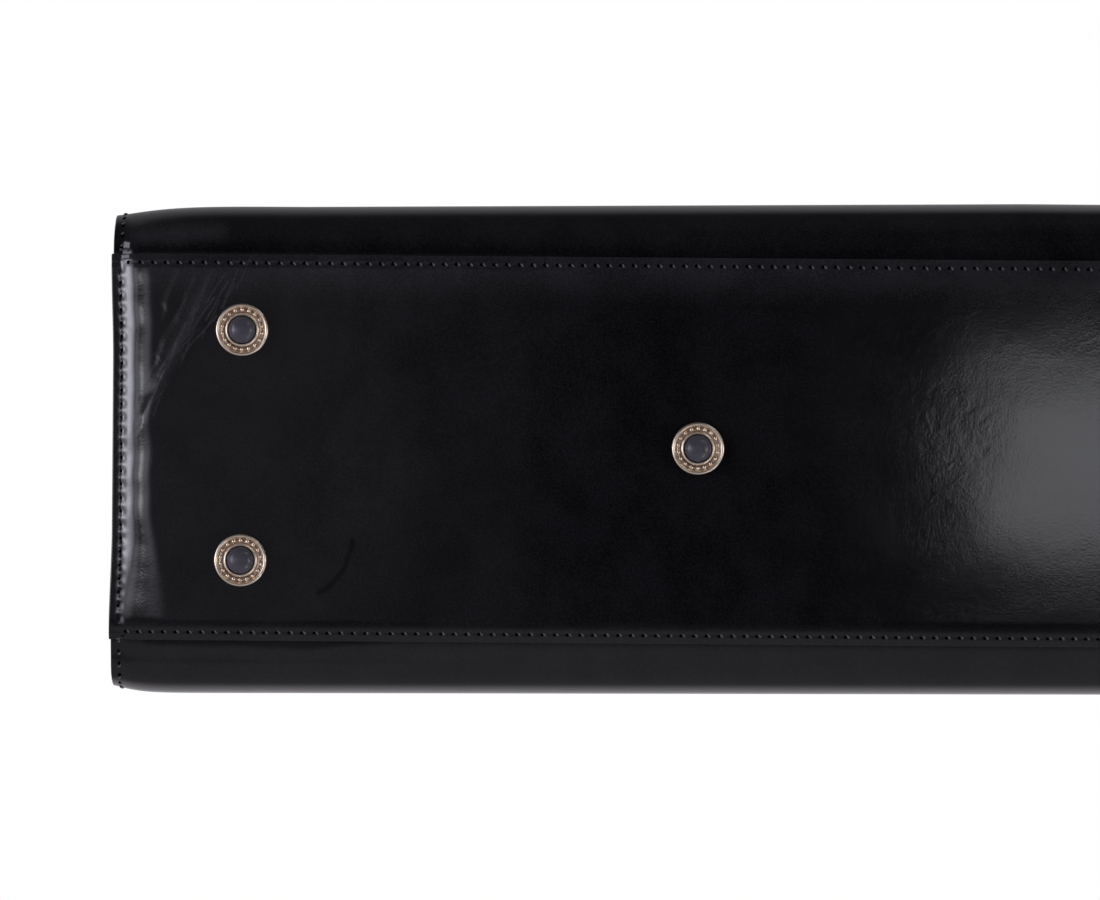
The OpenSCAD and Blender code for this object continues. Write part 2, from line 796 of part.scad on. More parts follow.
module handle_pin() {
    end_x = ear_in_x + ear_t + gap / 2;
    head_t = handle_pin_d / 4;
    color(pale_gold) translate([handle_x, frame_y, handle_z]) {
        cylinder_x(-end_x, end_x, handle_pin_d / 2);
        cylinder_x(end_x, end_x + head_t, handle_pin_d * 0.75);
        cylinder_x(-end_x - head_t, -end_x, handle_pin_d * 0.75);
    }
}

module right_handle_pin() { handle_pin(); }
module left_handle_pin() { at_left() handle_pin(); }

// Ferrule: a cup for the grip's end over a tongue that turns on the handle pin
module ferrule() {
    cup_r = grip_d / 2 + ferrule_t;
    tongue_r = ear_w / 2 - gap;
    color(pale_gold) translate([handle_x, frame_y, 0]) difference() {
        union() {
            translate([0, 0, ferrule_z]) cylinder(h = ferrule_h, r = cup_r);
            translate([0, 0, handle_z]) cylinder_x(-ferrule_tongue_t / 2, ferrule_tongue_t / 2, tongue_r);
            translate([-ferrule_tongue_t / 2, -tongue_r, handle_z])
                cube([ferrule_tongue_t, 2 * tongue_r, ferrule_rise + ferrule_floor / 2]);
        }
        translate([0, 0, grip_z]) cylinder(h = ferrule_h, r = grip_d / 2);
        translate([0, 0, handle_z]) cylinder_x(-half_l, half_l, handle_pin_d / 2 + run_fit);
    }
}

module right_ferrule() { ferrule(); }
module left_ferrule() { at_left() ferrule(); }

// Right upright and bend of a rod that follows the handle
module handle_limb(r) {
    translate([handle_x, frame_y, grip_z]) cylinder(h = bend_z - grip_z, r = r);
    translate([handle_x - grip_bend_r, frame_y, bend_z]) rotate([90, 0, 0])
        rotate_extrude(angle = 90) translate([grip_bend_r, 0]) circle(r);
}

top_half_l = handle_x - grip_bend_r;

// Straight top of the grip, swelling to its middle
module grip_top() {
    steps = 8;
    swell = [for (i = [-steps : steps])
        let (u = i / steps) [(grip_mid_d + (grip_d - grip_mid_d) * u * u) / 2, top_half_l * u]];
    translate([0, frame_y, grip_top_z]) rotate([0, 90, 0])
        rotate_extrude() polygon(concat([[0, -top_half_l]], swell, [[0, top_half_l]]));
}

module handle_rod(r) {
    handle_limb(r);
    at_left() handle_limb(r);
    translate([0, frame_y, grip_top_z]) cylinder_x(-top_half_l, top_half_l, r);
}

module handle_core() {
    color(steel) handle_rod(core_d / 2);
}

// Leather grip sewn round the core
module handle_grip() {
    color(black_leather) difference() {
        union() {
            handle_limb(grip_d / 2);
            at_left() handle_limb(grip_d / 2);
            grip_top();
        }
        handle_rod(core_d / 2);
    }
}

base_panel();
base_filler();
base_board();
base_lining();
foot_rings();
foot_studs();
foot_posts();
foot_washers();
front_panel();
back_panel();
left_gusset();
right_gusset();
front_board();
back_board();
left_end_board();
right_end_board();
front_lining();
back_lining();
left_gusset_lining();
right_gusset_lining();
left_hinge_bracket();
right_hinge_bracket();
hinge_bracket_rivets();
left_hinge_pin();
right_hinge_pin();
front_rail();
front_rail_cover();
rear_rail();
rear_rail_cover();
strike_plate();
strike_screws();
lock_case();
lock_screws();
lock_slide();
key_barrel();
left_handle_bracket();
right_handle_bracket();
handle_bracket_screws();
left_handle_pin();
right_handle_pin();
left_ferrule();
right_ferrule();
handle_core();
handle_grip();
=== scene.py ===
"""Black leather doctor bag: its looks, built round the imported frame.

Lengths are in millimetres and become metres where a mesh is made. X runs along
the base, -Y is the front and +Z is up, as in the frame.
"""

import itertools
import json
import logging
import math
import random
from dataclasses import dataclass, field
from enum import Enum
from typing import Callable, Iterator, Optional, Sequence, Union

import bmesh
import bpy
from mathutils import Matrix, Vector, noise

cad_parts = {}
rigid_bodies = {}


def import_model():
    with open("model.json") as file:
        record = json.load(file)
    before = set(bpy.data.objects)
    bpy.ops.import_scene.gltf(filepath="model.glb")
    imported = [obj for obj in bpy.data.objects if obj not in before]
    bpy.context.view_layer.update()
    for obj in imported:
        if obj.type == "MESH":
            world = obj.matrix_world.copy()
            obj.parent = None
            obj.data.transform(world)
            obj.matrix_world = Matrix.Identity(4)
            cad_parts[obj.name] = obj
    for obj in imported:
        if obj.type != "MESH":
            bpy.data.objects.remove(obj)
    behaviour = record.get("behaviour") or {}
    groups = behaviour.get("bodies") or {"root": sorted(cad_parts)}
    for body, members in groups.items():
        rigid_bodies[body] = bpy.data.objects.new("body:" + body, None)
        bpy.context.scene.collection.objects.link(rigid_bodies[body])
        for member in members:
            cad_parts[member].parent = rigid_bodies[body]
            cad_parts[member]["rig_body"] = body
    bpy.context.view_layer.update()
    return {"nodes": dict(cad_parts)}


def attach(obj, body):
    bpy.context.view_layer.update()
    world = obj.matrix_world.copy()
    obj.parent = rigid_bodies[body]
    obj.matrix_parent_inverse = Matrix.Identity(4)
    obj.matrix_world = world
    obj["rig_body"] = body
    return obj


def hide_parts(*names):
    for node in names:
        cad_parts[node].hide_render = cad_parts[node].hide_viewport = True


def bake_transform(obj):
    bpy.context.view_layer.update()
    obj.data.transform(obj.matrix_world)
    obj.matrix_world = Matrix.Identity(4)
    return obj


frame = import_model()

MM = 0.001
LOG = logging.getLogger("doctor_bag")

Point = tuple[float, float, float]
Colour = tuple[float, float, float]
Line = tuple[Point, Point, float]
Socket = bpy.types.NodeSocket
Piece = bpy.types.Object
Material = bpy.types.Material


class Half(Enum):
    """The two halves of the bag on either side of the mouth."""

    FRONT = -1
    REAR = 1

    @property
    def frame_body(self) -> str:
        """Body that this half's rail belongs to."""
        return "front_frame" if self is Half.FRONT else "rear_frame"

    @property
    def panel_name(self) -> str:
        """Word that names this half's wall pieces."""
        return "front" if self is Half.FRONT else "back"

    @property
    def rail_name(self) -> str:
        """Word that names this half's rail pieces."""
        return "front" if self is Half.FRONT else "rear"


class End(Enum):
    """The two ends of the bag."""

    LEFT = -1
    RIGHT = 1

    @property
    def word(self) -> str:
        """Word that names this end's pieces."""
        return "left" if self is End.LEFT else "right"


def smoothstep(low: float, high: float, value: float) -> float:
    """Smooth rise from 0 at low to 1 at high."""
    t = min(1.0, max(0.0, (value - low) / (high - low)))
    return t * t * (3.0 - 2.0 * t)


def mix(a: float, b: float, t: float) -> float:
    """Straight mix of a and b."""
    return a + (b - a) * t


def hump(value: float, centre: float, width: float) -> float:
    """Bell of height 1 round a centre."""
    return math.exp(-(((value - centre) / width) ** 2))


def wander(x: float, y: float, seed: float = 0.0) -> float:
    """Slow seeded noise between about -1 and 1."""
    return noise.noise(Vector((x, y, seed)))


def spaced(low: float, high: float, count: int) -> list[float]:
    """Evenly spaced values from low to high, both included."""
    return [mix(low, high, i / (count - 1)) for i in range(count)]


def fine_ended(low: float, high: float, fine: float, fine_step: float, step: float) -> list[float]:
    """Values from low to high with short steps near both ends.

    Args:
        low: First value.
        high: Last value.
        fine: Length of each finely stepped end.
        fine_step: Step in those ends.
        step: Step in between.

    Returns:
        Rising list of values.
    """
    ends = spaced(0.0, fine, max(2, round(fine / fine_step) + 1))
    middle = spaced(low + fine, high - fine, max(2, round((high - low - 2 * fine) / step) + 1))
    return [low + e for e in ends[:-1]] + middle + [high - e for e in reversed(ends[:-1])]


def turns(count: int) -> list[float]:
    """Evenly spaced angles of one full turn."""
    return [2.0 * math.pi * k / count for k in range(count)]


def stops_along(run: Sequence[float], stops: Sequence[float]) -> Iterator[tuple[int, float]]:
    """Finds places along a line of points.

    Args:
        run: Distance along the line at each of its points.
        stops: Rising distances to find.

    Returns:
        For each stop, the point before it and the share of the way to the next.
    """
    i = 0
    for stop in stops:
        while i < len(run) - 2 and run[i + 1] < stop:
            i += 1
        yield i, (stop - run[i]) / (run[i + 1] - run[i])


def add_object(name: str, data: bpy.types.ID) -> Piece:
    """Puts a new object into the scene."""
    made = bpy.data.objects.new(name, data)
    bpy.context.scene.collection.objects.link(made)
    return made


def settle(piece: Piece, slot: str, node: str = "", body: str = "") -> Piece:
    """Gives a piece its place in the frame and reports it.

    Args:
        piece: The piece.
        slot: Material slot of the record.
        node: Frame node that it stands for, if any.
        body: Body that it rides on, or none, which leaves it unattached.

    Returns:
        The piece.
    """
    if body:
        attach(piece, body)
    if node:
        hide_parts(node)
    LOG.info("%s: %d faces, %s", piece.name, len(piece.data.polygons), slot)
    return piece


@dataclass
class MeshMaker:
    """Gathers points and faces in millimetres and makes one object of them."""

    name: str
    points: list[Point] = field(default_factory=list)
    faces: list[tuple[int, ...]] = field(default_factory=list)
    finishes: list[int] = field(default_factory=list)

    def face(self, corners: Sequence[int], finish: int = 0) -> None:
        """Adds one face over points that are already there."""
        self.faces.append(tuple(corners))
        self.finishes.append(finish)

    def grid(self, rows: Sequence[Sequence[Point]], closed: bool = False, finish: int = 0) -> int:
        """Adds a surface of four-sided faces over rows of points.

        Args:
            rows: Rows of equally many points.
            closed: Whether the last column joins the first.
            finish: Index of the material.

        Returns:
            Index of the first point.
        """
        base, width = len(self.points), len(rows[0])
        for row in rows:
            self.points.extend(row)
        for r in range(len(rows) - 1):
            for c in range(width if closed else width - 1):
                d = (c + 1) % width
                low, high = base + r * width, base + (r + 1) * width
                self.face((low + c, low + d, high + d, high + c), finish)
        return base

    def tube(self, rings: Sequence[Sequence[Point]], finish: int = 0) -> None:
        """Adds a closed tube over rings of points, with both ends capped."""
        base, width = self.grid(rings, True, finish), len(rings[0])
        last = base + (len(rings) - 1) * width
        self.face(range(base + width - 1, base - 1, -1), finish)
        self.face(range(last, last + width), finish)

    def lathe(self, centre: Point, line: Sequence[tuple[float, float]], steps: int, finish: int = 0) -> None:
        """Adds a closed line of radius and height turned about an upright axis.

        Args:
            centre: Point on the axis.
            line: Pairs of radius and height, closed on itself.
            steps: Number of steps round the axis.
            finish: Index of the material.
        """
        rows = []
        for i in range(steps + 1):
            a = 2.0 * math.pi * (i % steps) / steps
            rows.append([
                (centre[0] + r * math.cos(a), centre[1] + r * math.sin(a), centre[2] + z)
                for r, z in line
            ])
        self.grid(rows, True, finish)

    def build(
        self, materials: Sequence[Material], outward: Optional[Callable[[Vector], Vector]] = None
    ) -> Piece:
        """Makes the object.

        Args:
            materials: Materials by finish index.
            outward: For an open sheet, the way its outer face looks at a point in
                millimetres. A closed shape needs none.

        Returns:
            The new object, smooth shaded, in metres.
        """
        mesh = bpy.data.meshes.new(self.name)
        mesh.from_pydata([[c * MM for c in p] for p in self.points], [], self.faces)
        for polygon, finish in zip(mesh.polygons, self.finishes):
            polygon.material_index = finish
            polygon.use_smooth = True
        tidy = bmesh.new()
        tidy.from_mesh(mesh)
        bmesh.ops.remove_doubles(tidy, verts=tidy.verts, dist=2e-6)
        bmesh.ops.dissolve_degenerate(tidy, edges=tidy.edges, dist=1e-6)
        if outward is None:
            bmesh.ops.recalc_face_normals(tidy, faces=tidy.faces)
        else:
            tidy.normal_update()
            along = sum(
                f.normal.dot(outward(f.calc_center_median() / MM)) * f.calc_area() for f in tidy.faces
            )
            if along < 0.0:
                bmesh.ops.reverse_faces(tidy, faces=tidy.faces)
        tidy.to_mesh(mesh)
        tidy.free()
        for material in materials:
            mesh.materials.append(material)
        return add_object(self.name, mesh)


def thicken(piece: Piece, thickness: float, ease: float) -> Piece:
    """Gives a sheet its thickness, behind its outer face, and eases its edges."""
    solid = piece.modifiers.new("thickness", "SOLIDIFY")
    solid.thickness, solid.offset, solid.use_even_offset = thickness * MM, -1.0, True
    return ease_edges(piece, ease, 60.0)


def ease_edges(piece: Piece, ease: float, angle: float) -> Piece:
    """Rounds the edges of a piece that are sharper than an angle in degrees."""
    bevel = piece.modifiers.new("eased_edges", "BEVEL")
    bevel.width, bevel.segments, bevel.limit_method = ease * MM, 2, "ANGLE"
    bevel.angle_limit, bevel.harden_normals = math.radians(angle), True
    return piece


def eased_copy(node: str, ease: float, material: Material, slot: str) -> Piece:
    """Makes a copy of a rigid frame node with eased edges that stands for it.

    Args:
        node: Name of the frame node.
        ease: Width of the easing in millimetres.
        material: Finish of the copy.
        slot: Material slot of the record.

    Returns:
        The copy, riding on the node's own body.
    """
    source = frame["nodes"][node]
    mesh = bpy.data.meshes.new(f"{node}_eased")
    tidy = bmesh.new()
    tidy.from_mesh(source.data)
    bmesh.ops.remove_doubles(tidy, verts=tidy.verts, dist=2e-6)
    bmesh.ops.dissolve_limit(
        tidy, angle_limit=math.radians(1.0), verts=tidy.verts, edges=tidy.edges
    )
    bmesh.ops.recalc_face_normals(tidy, faces=tidy.faces)
    for face in tidy.faces:
        face.smooth = True
        face.material_index = 0
    tidy.to_mesh(mesh)
    tidy.free()
    mesh.set_sharp_from_angle(angle=math.radians(30.0))
    mesh.materials.append(material)
    piece = ease_edges(add_object(f"{node}_eased", mesh), ease, 30.0)
    return settle(piece, slot, node, source["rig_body"])


@dataclass(frozen=True)
class Section:
    """Place on a wall's outer line, as distance from the middle plane and height."""

    d: float
    z: float
    nd: float
    nz: float

    def inside(self, depth: float) -> tuple[float, float]:
        """Distance from the middle and height at a depth below the outer face."""
        return self.d - depth * self.nd, self.z - depth * self.nz


@dataclass(frozen=True)
class BagForm:
    """The form that the soft pieces share: wall line, end seams and gusset planes."""

    half_l: float = 216.8
    half_d: float = 89.0
    wrap_z: float = 7.5
    turn_r: float = 18.0
    belly_rise: float = 165.0
    top_d: float = 8.0
    top_z: float = 271.1
    shoulder_drop: float = 56.0
    shoulder_flare: float = 6.0
    hem: float = 5.0
    draw_in_z: float = 110.0
    draw_in_top: float = 284.0
    draw_in: float = 7.0
    corner_x: float = 196.5
    corner_from: float = 232.0
    corner_to: float = 262.0
    roll_from: float = 16.0
    roll_edge: float = 4.4
    roll_slope: float = 0.60
    roll_power: float = 2.5
    roll_flat: float = 1.8
    front_fall: tuple[float, float, float] = (3.7, 17.0, 1.3)
    back_fall: tuple[float, float, float] = (2.8, 8.0, 1.3)
    skew: float = 0.0116
    lap_sink: float = 1.0
    lap_roll: float = 1.1
    lap_tight: float = 1.5
    lap_edge: float = 1.6
    slack_back: float = 1.8
    leather_t: float = 2.0
    gusset_x: float = 208.0
    pivot_x: float = 201.3
    leg_x: float = 196.8
    pinch: float = 13.0
    pinch_run: float = 25.0
    board_z: float = 138.0
    still_z: float = 138.0
    free_z: float = 195.0

    def half_length(self, z: float) -> float:
        """Half the length of the walls at a height."""
        drawn = self.draw_in * max(0.0, (z - self.draw_in_z) / (self.draw_in_top - self.draw_in_z))
        return mix(
            self.half_l - drawn, self.corner_x, smoothstep(self.corner_from, self.corner_to, z)
        )

    def roll(self, e: float, slack: float = 1.0) -> float:
        """How far the base leather rolls in towards its end seam.

        Args:
            e: Distance from the end edge.
            slack: How much longer and flatter than usual the roll is.

        Returns:
            Depth below the plain outer face.
        """
        run, slope = (self.roll_from - self.roll_edge) * slack, self.roll_slope / slack
        share = min(1.0, max(0.0, (self.roll_edge + run - e) / run))
        depth = run * slope / self.roll_power * share**self.roll_power
        past = min(self.roll_edge - e, self.roll_flat)
        if past > 0.0:
            depth += slope * (past - past * past / (2.0 * self.roll_flat))
        return depth

    def stand(self, half: Half, x: float, e: float, z: float) -> float:
        """How far a wall stands out of its plain form, because the bag sits a little askew.

        Args:
            half: Which wall.
            x: Place along the bag.
            e: Distance from the end edge.
            z: Height: the lapped edge rolls as the base does, and the top stays plain.

        Returns:
            Height over the plain outer face, which is negative where the wall falls away.
        """
        if half is Half.FRONT:
            (fall, run, power), out = self.front_fall, 1.2 + min(2.0, max(-1.1, 0.6 + self.skew * x))
        else:
            (fall, run, power), out = self.back_fall, 2.6 - 0.5 * self.skew * x
        low = 1.0 - smoothstep(90.0, 170.0, z)
        own = out * low - fall * math.exp(-((e / run) ** power)) * mix(0.25, 1.0, low)
        slack = 1.0 if half is Half.FRONT else self.slack_back
        rolled = self.roll(self.lap_tight * e - self.lap_edge, slack) / self.lap_tight
        lapped = -self.lap_sink - self.lap_roll * rolled
        return mix(lapped, own, smoothstep(self.wrap_z + 0.3, self.wrap_z + 7.0, z))

    def gusset_face(self, d: float, z: float) -> float:
        """Distance of the gusset's outer face from the middle of the bag.

        Args:
            d: Distance from the middle plane, front to back.
            z: Height.

        Returns:
            The X of the right gusset's outer face.
        """
        spine = mix(self.gusset_x, self.pivot_x, smoothstep(self.board_z + 1.0, self.board_z + 12.5, z))
        spine = mix(spine, self.leg_x, smoothstep(166.0, 173.0, z))
        outer = min(self.gusset_x, self.half_length(z) - 6.0)
        face = mix(spine, outer, smoothstep(self.pinch, self.pinch + self.pinch_run, abs(d)))
        quiet = smoothstep(60.0, 120.0, z) * smoothstep(11.0, 30.0, abs(d))
        return face + 0.9 * quiet * wander(d / 32.0, z / 45.0, 4.0)

    def wall_line(self, start: float) -> list[tuple[float, float]]:
        """Dense outer line of a wall, from a distance from the middle up to its hem."""
        turn_d, turn_z = self.half_d - self.turn_r, self.wrap_z + self.turn_r
        line = [(d, self.wrap_z) for d in spaced(start, turn_d, 40)][:-1]
        for a in spaced(-0.5 * math.pi, 0.0, 40)[:-1]:
            line.append((turn_d + self.turn_r * math.cos(a), turn_z + self.turn_r * math.sin(a)))
        ctrl = [
            Vector((self.half_d, turn_z)),
            Vector((self.half_d, turn_z + self.belly_rise)),
            Vector((self.top_d + self.shoulder_flare, self.top_z - self.shoulder_drop)),
            Vector((self.top_d, self.top_z)),
        ]
        for t in spaced(0.0, 1.0, 240):
            u = 1.0 - t
            p = u**3 * ctrl[0] + 3 * t * u * u * ctrl[1] + 3 * t * t * u * ctrl[2] + t**3 * ctrl[3]
            line.append((p.x, p.y))
        for h in spaced(0.0, self.hem, 6)[1:]:
            line.append((self.top_d - 0.05 * h, self.top_z + h))
        return line

    def sections(self, start: float, step: float, top: Optional[float] = None) -> list[Section]:
        """Evenly spaced places along a wall's outer line.

        Args:
            start: Distance from the middle where the line begins.
            step: Spacing along the line.
            top: Height to stop at, or none for the whole line.

        Returns:
            Sections from the base up.
        """
        line = [p for p in self.wall_line(start) if top is None or p[1] <= top]
        gaps = (math.hypot(q[0] - p[0], q[1] - p[1]) for p, q in zip(line, line[1:]))
        run = list(itertools.accumulate(gaps, initial=0.0))
        made = []
        for i, t in stops_along(run, spaced(0.0, run[-1], max(3, round(run[-1] / step) + 1))):
            p, q = line[i], line[i + 1]
            a, b = line[max(0, i - 1)], line[min(len(line) - 1, i + 2)]
            slope = Vector((b[0] - a[0], b[1] - a[1])).normalized()
            made.append(Section(mix(p[0], q[0], t), mix(p[1], q[1], t), slope.y, -slope.x))
        return made

    def hang(self, piece: Piece, half: Half) -> Piece:
        """Bakes a soft piece's place into its mesh; it does not bend as its half of the frame opens."""
        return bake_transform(piece)


class Tree:
    """Short hand for adding and joining the nodes of one node tree."""

    def __init__(self, tree: bpy.types.NodeTree) -> None:
        """Keeps the tree."""
        self.tree = tree

    @classmethod
    def fresh(cls, owner: bpy.types.ID) -> "Tree":
        """Empties the tree of a material, world or lamp."""
        owner.use_nodes = True
        owner.node_tree.nodes.clear()
        return cls(owner.node_tree)

    def put(self, socket: Socket, value: Union[Socket, float, Sequence[float]]) -> None:
        """Links a socket to an input, or sets the input's own value."""
        if isinstance(value, Socket):
            self.tree.links.new(value, socket)
        else:
            socket.default_value = value

    def add(self, kind: str, inputs: Optional[dict] = None, **settings: object) -> bpy.types.Node:
        """Adds a node.

        Args:
            kind: Blender's name for the node type.
            inputs: Values or sockets by input name or number.
            settings: Properties of the node.

        Returns:
            The new node.
        """
        node = self.tree.nodes.new(kind)
        for key, value in settings.items():
            setattr(node, key, value)
        for key, value in (inputs or {}).items():
            self.put(node.inputs[key], value)
        return node

    def math(self, operation: str, a: Union[Socket, float], b: Union[Socket, float] = 0.0) -> Socket:
        """Adds a math node and gives its result."""
        return self.add("ShaderNodeMath", {0: a, 1: b}, operation=operation).outputs[0]

    def vector(self, operation: str, a: object, b: object = (0.0, 0.0, 0.0)) -> bpy.types.Node:
        """Adds a vector math node."""
        return self.add("ShaderNodeVectorMath", {0: a, 1: b}, operation=operation)

    def noise(self, where: Socket, scale: object, detail: float = 2.0, rough: float = 0.5) -> Socket:
        """Adds a noise texture and gives its value."""
        inputs = {"Vector": where, "Scale": scale, "Detail": detail, "Roughness": rough}
        return self.add("ShaderNodeTexNoise", inputs).outputs[0]

    def ranged(self, value: Socket, low: float, high: float, to_low: float, to_high: float) -> Socket:
        """Maps a value smoothly from one range to another."""
        inputs = {0: value, 1: low, 2: high, 3: to_low, 4: to_high}
        return self.add("ShaderNodeMapRange", inputs, interpolation_type="SMOOTHSTEP").outputs[0]

    def bump(self, strength: float, relief: float, height: Socket) -> Socket:
        """Adds a bump node and gives its normal."""
        inputs = {"Strength": strength, "Distance": relief, "Height": height}
        return self.add("ShaderNodeBump", inputs).outputs[0]

    def blend(self, share: Socket, a: object, b: object) -> Socket:
        """Mixes two colours."""
        node = self.add("ShaderNodeMix", {0: share}, data_type="RGBA")
        self.put(node.inputs[6], a if isinstance(a, Socket) else (*a, 1.0))
        self.put(node.inputs[7], b if isinstance(b, Socket) else (*b, 1.0))
        return node.outputs[2]

    def place(self, group: bpy.types.NodeTree, inputs: Optional[dict] = None) -> bpy.types.Node:
        """Places a shared group with its own values."""
        return self.add("ShaderNodeGroup", inputs, node_tree=group)


class SharedEffects:
    """Shader groups that several finishes use, each built once."""

    def __init__(self) -> None:
        """Builds every group."""
        self.hide = self._hide()
        self.crease = self._crease()
        self.weave = self._weave()
        self.marks_and_sheen = self._rubbed()

    @staticmethod
    def _open(
        name: str, inputs: dict, outputs: Sequence[str]
    ) -> tuple[Tree, bpy.types.Node, bpy.types.Node]:
        """Starts a group.

        Args:
            name: Name of the group.
            inputs: Default values by input name: a number or a vector.
            outputs: Names of the value outputs.

        Returns:
            The tree, its input node and its output node.
        """
        group = bpy.data.node_groups.new(name, "ShaderNodeTree")
        for key, value in inputs.items():
            kind = "NodeSocketVector" if isinstance(value, tuple) else "NodeSocketFloat"
            group.interface.new_socket(key, in_out="INPUT", socket_type=kind).default_value = value
        for key in outputs:
            group.interface.new_socket(key, in_out="OUTPUT", socket_type="NodeSocketFloat")
        tree = Tree(group)
        return tree, tree.add("NodeGroupInput"), tree.add("NodeGroupOutput")

    def _hide(self) -> bpy.types.NodeTree:
        """Grain of a polished hide: pores, hair streaks, wrinkles, folds, gloss and tone."""
        inputs = {"Pores": 900.0, "Streaks": 0.4, "Dents": 0.4, "Wrinkles": 0.4, "Folds": 0.5}
        tree, given, out = self._open("polished_hide", inputs, ("Height", "Gloss", "Tone"))
        where = tree.add("ShaderNodeTexCoord").outputs["Object"]
        pores = tree.noise(where, given.outputs["Pores"], 3.0, 0.6)
        drawn = tree.vector("MULTIPLY", where, (1.0, 0.34, 0.34)).outputs[0]
        streaks = tree.noise(drawn, 760.0, 4.0, 0.62)
        dents = tree.noise(tree.vector("MULTIPLY", where, (1.0, 0.6, 0.6)).outputs[0], 210.0, 2.0, 0.5)
        folds = tree.noise(where, 26.0, 3.0, 0.5)
        patches = tree.noise(where, 17.0, 2.0, 0.5)
        stray = tree.add("ShaderNodeTexNoise", {"Vector": where, "Scale": 120.0, "Detail": 3.0}).outputs[1]
        bent = tree.add(
            "ShaderNodeVectorMath", {0: stray, 1: (0.012, 0.012, 0.012), 2: where}, operation="MULTIPLY_ADD"
        )
        laid = tree.add(
            "ShaderNodeMapping",
            {"Vector": bent.outputs[0], "Rotation": (0.0, 0.0, -0.56), "Scale": (2.6, 1.0, 1.0)},
            vector_type="TEXTURE",
        )
        cells = tree.add(
            "ShaderNodeTexVoronoi", {"Vector": laid.outputs[0], "Scale": 150.0}, feature="DISTANCE_TO_EDGE"
        )
        lines = tree.ranged(cells.outputs["Distance"], 0.0, 0.3, 1.0, 0.0)
        lines = tree.math("MULTIPLY", lines, tree.ranged(patches, 0.48, 0.66, 0.0, 1.0))
        height = tree.math("MULTIPLY", pores, 0.16)
        for part, share in ((streaks, "Streaks"), (dents, "Dents"), (folds, "Folds"), (lines, "Wrinkles")):
            height = tree.math("ADD", height, tree.math("MULTIPLY", part, given.outputs[share]))
        tree.put(out.inputs["Height"], height)
        marks_and_sheen = tree.math("MULTIPLY", tree.noise(drawn, 90.0, 5.0, 0.6), 0.6)
        cloudy = tree.math("MULTIPLY", tree.noise(where, 14.0, 4.0, 0.55), 0.4)
        tree.put(out.inputs["Gloss"], tree.math("ADD", marks_and_sheen, cloudy))
        speckle = tree.ranged(tree.noise(where, 1300.0, 2.0, 0.7), 0.40, 0.62, 0.0, 0.6)
        mottle = tree.ranged(tree.noise(where, 55.0, 5.0, 0.6), 0.34, 0.66, 0.0, 0.4)
        tree.put(out.inputs["Tone"], tree.math("ADD", speckle, mottle))
        return tree.tree

    def _crease(self) -> bpy.types.NodeTree:
        """Soft line mask between two points low on the bag, along which painted sheen, painted highlights and
        painted shade are laid on the hide.
        """
        inputs = {"Start": (0.0, 0.0, 0.0), "End": (0.01, 0.0, 0.0), "Width": 0.001}
        tree, given, out = self._open("hide_crease", inputs, ("Mask",))
        where = tree.add("ShaderNodeTexCoord").outputs["Object"]
        flat = tree.vector("MULTIPLY", where, (1.0, 1.0, 0.0)).outputs[0]
        jitter = tree.add("ShaderNodeTexNoise", {"Vector": where, "Scale": 120.0}).outputs[1]
        moved = tree.vector("SUBTRACT", jitter, (0.5, 0.5, 0.5)).outputs[0]
        small = tree.vector("MULTIPLY", moved, (0.0016, 0.0016, 0.0)).outputs[0]
        flat = tree.vector("ADD", flat, small).outputs[0]
        away = tree.vector("SUBTRACT", flat, given.outputs["Start"]).outputs[0]
        line = tree.vector("SUBTRACT", given.outputs["End"], given.outputs["Start"]).outputs[0]
        along = tree.vector("DOT_PRODUCT", away, line).outputs["Value"]
        whole = tree.vector("DOT_PRODUCT", line, line).outputs["Value"]
        share = tree.add("ShaderNodeClamp", {0: tree.math("DIVIDE", along, whole)}).outputs[0]
        foot = tree.add("ShaderNodeVectorMath", {0: line}, operation="SCALE")
        tree.put(foot.inputs["Scale"], share)
        gap = tree.vector("SUBTRACT", away, foot.outputs[0]).outputs[0]
        far = tree.math("DIVIDE", tree.vector("LENGTH", gap).outputs["Value"], given.outputs["Width"])
        height = tree.add("ShaderNodeSeparateXYZ", {0: where}).outputs[2]
        near, low = tree.ranged(far, 0.0, 1.0, 1.0, 0.0), tree.ranged(height, 0.014, 0.022, 1.0, 0.0)
        tree.put(out.inputs["Mask"], tree.math("MULTIPLY", near, low))
        return tree.tree

    def _weave(self) -> bpy.types.NodeTree:
        """Plain weave of a cloth, with uneven yarns."""
        tree, given, out = self._open("plain_weave", {"Threads": 1400.0}, ("Height", "Shade"))
        where = tree.add("ShaderNodeTexCoord").outputs["Object"]
        parts = tree.add("ShaderNodeSeparateXYZ", {0: where})
        across = tree.math("ADD", parts.outputs[1], parts.outputs[2])
        warp = tree.math("SINE", tree.math("MULTIPLY", parts.outputs[0], given.outputs["Threads"]))
        weft = tree.math("SINE", tree.math("MULTIPLY", across, given.outputs["Threads"]))
        cross = tree.math("MULTIPLY", warp, weft)
        slub = tree.noise(tree.vector("MULTIPLY", where, (1.0, 0.55, 0.55)).outputs[0], 900.0, 3.0)
        tree.put(out.inputs["Height"], tree.math("ADD", tree.math("MULTIPLY", cross, 0.4), slub))
        shade = tree.math("ADD", slub, tree.math("MULTIPLY", cross, 0.12))
        tree.put(out.inputs["Shade"], tree.ranged(shade, 0.25, 0.8, 0.0, 1.0))
        return tree.tree

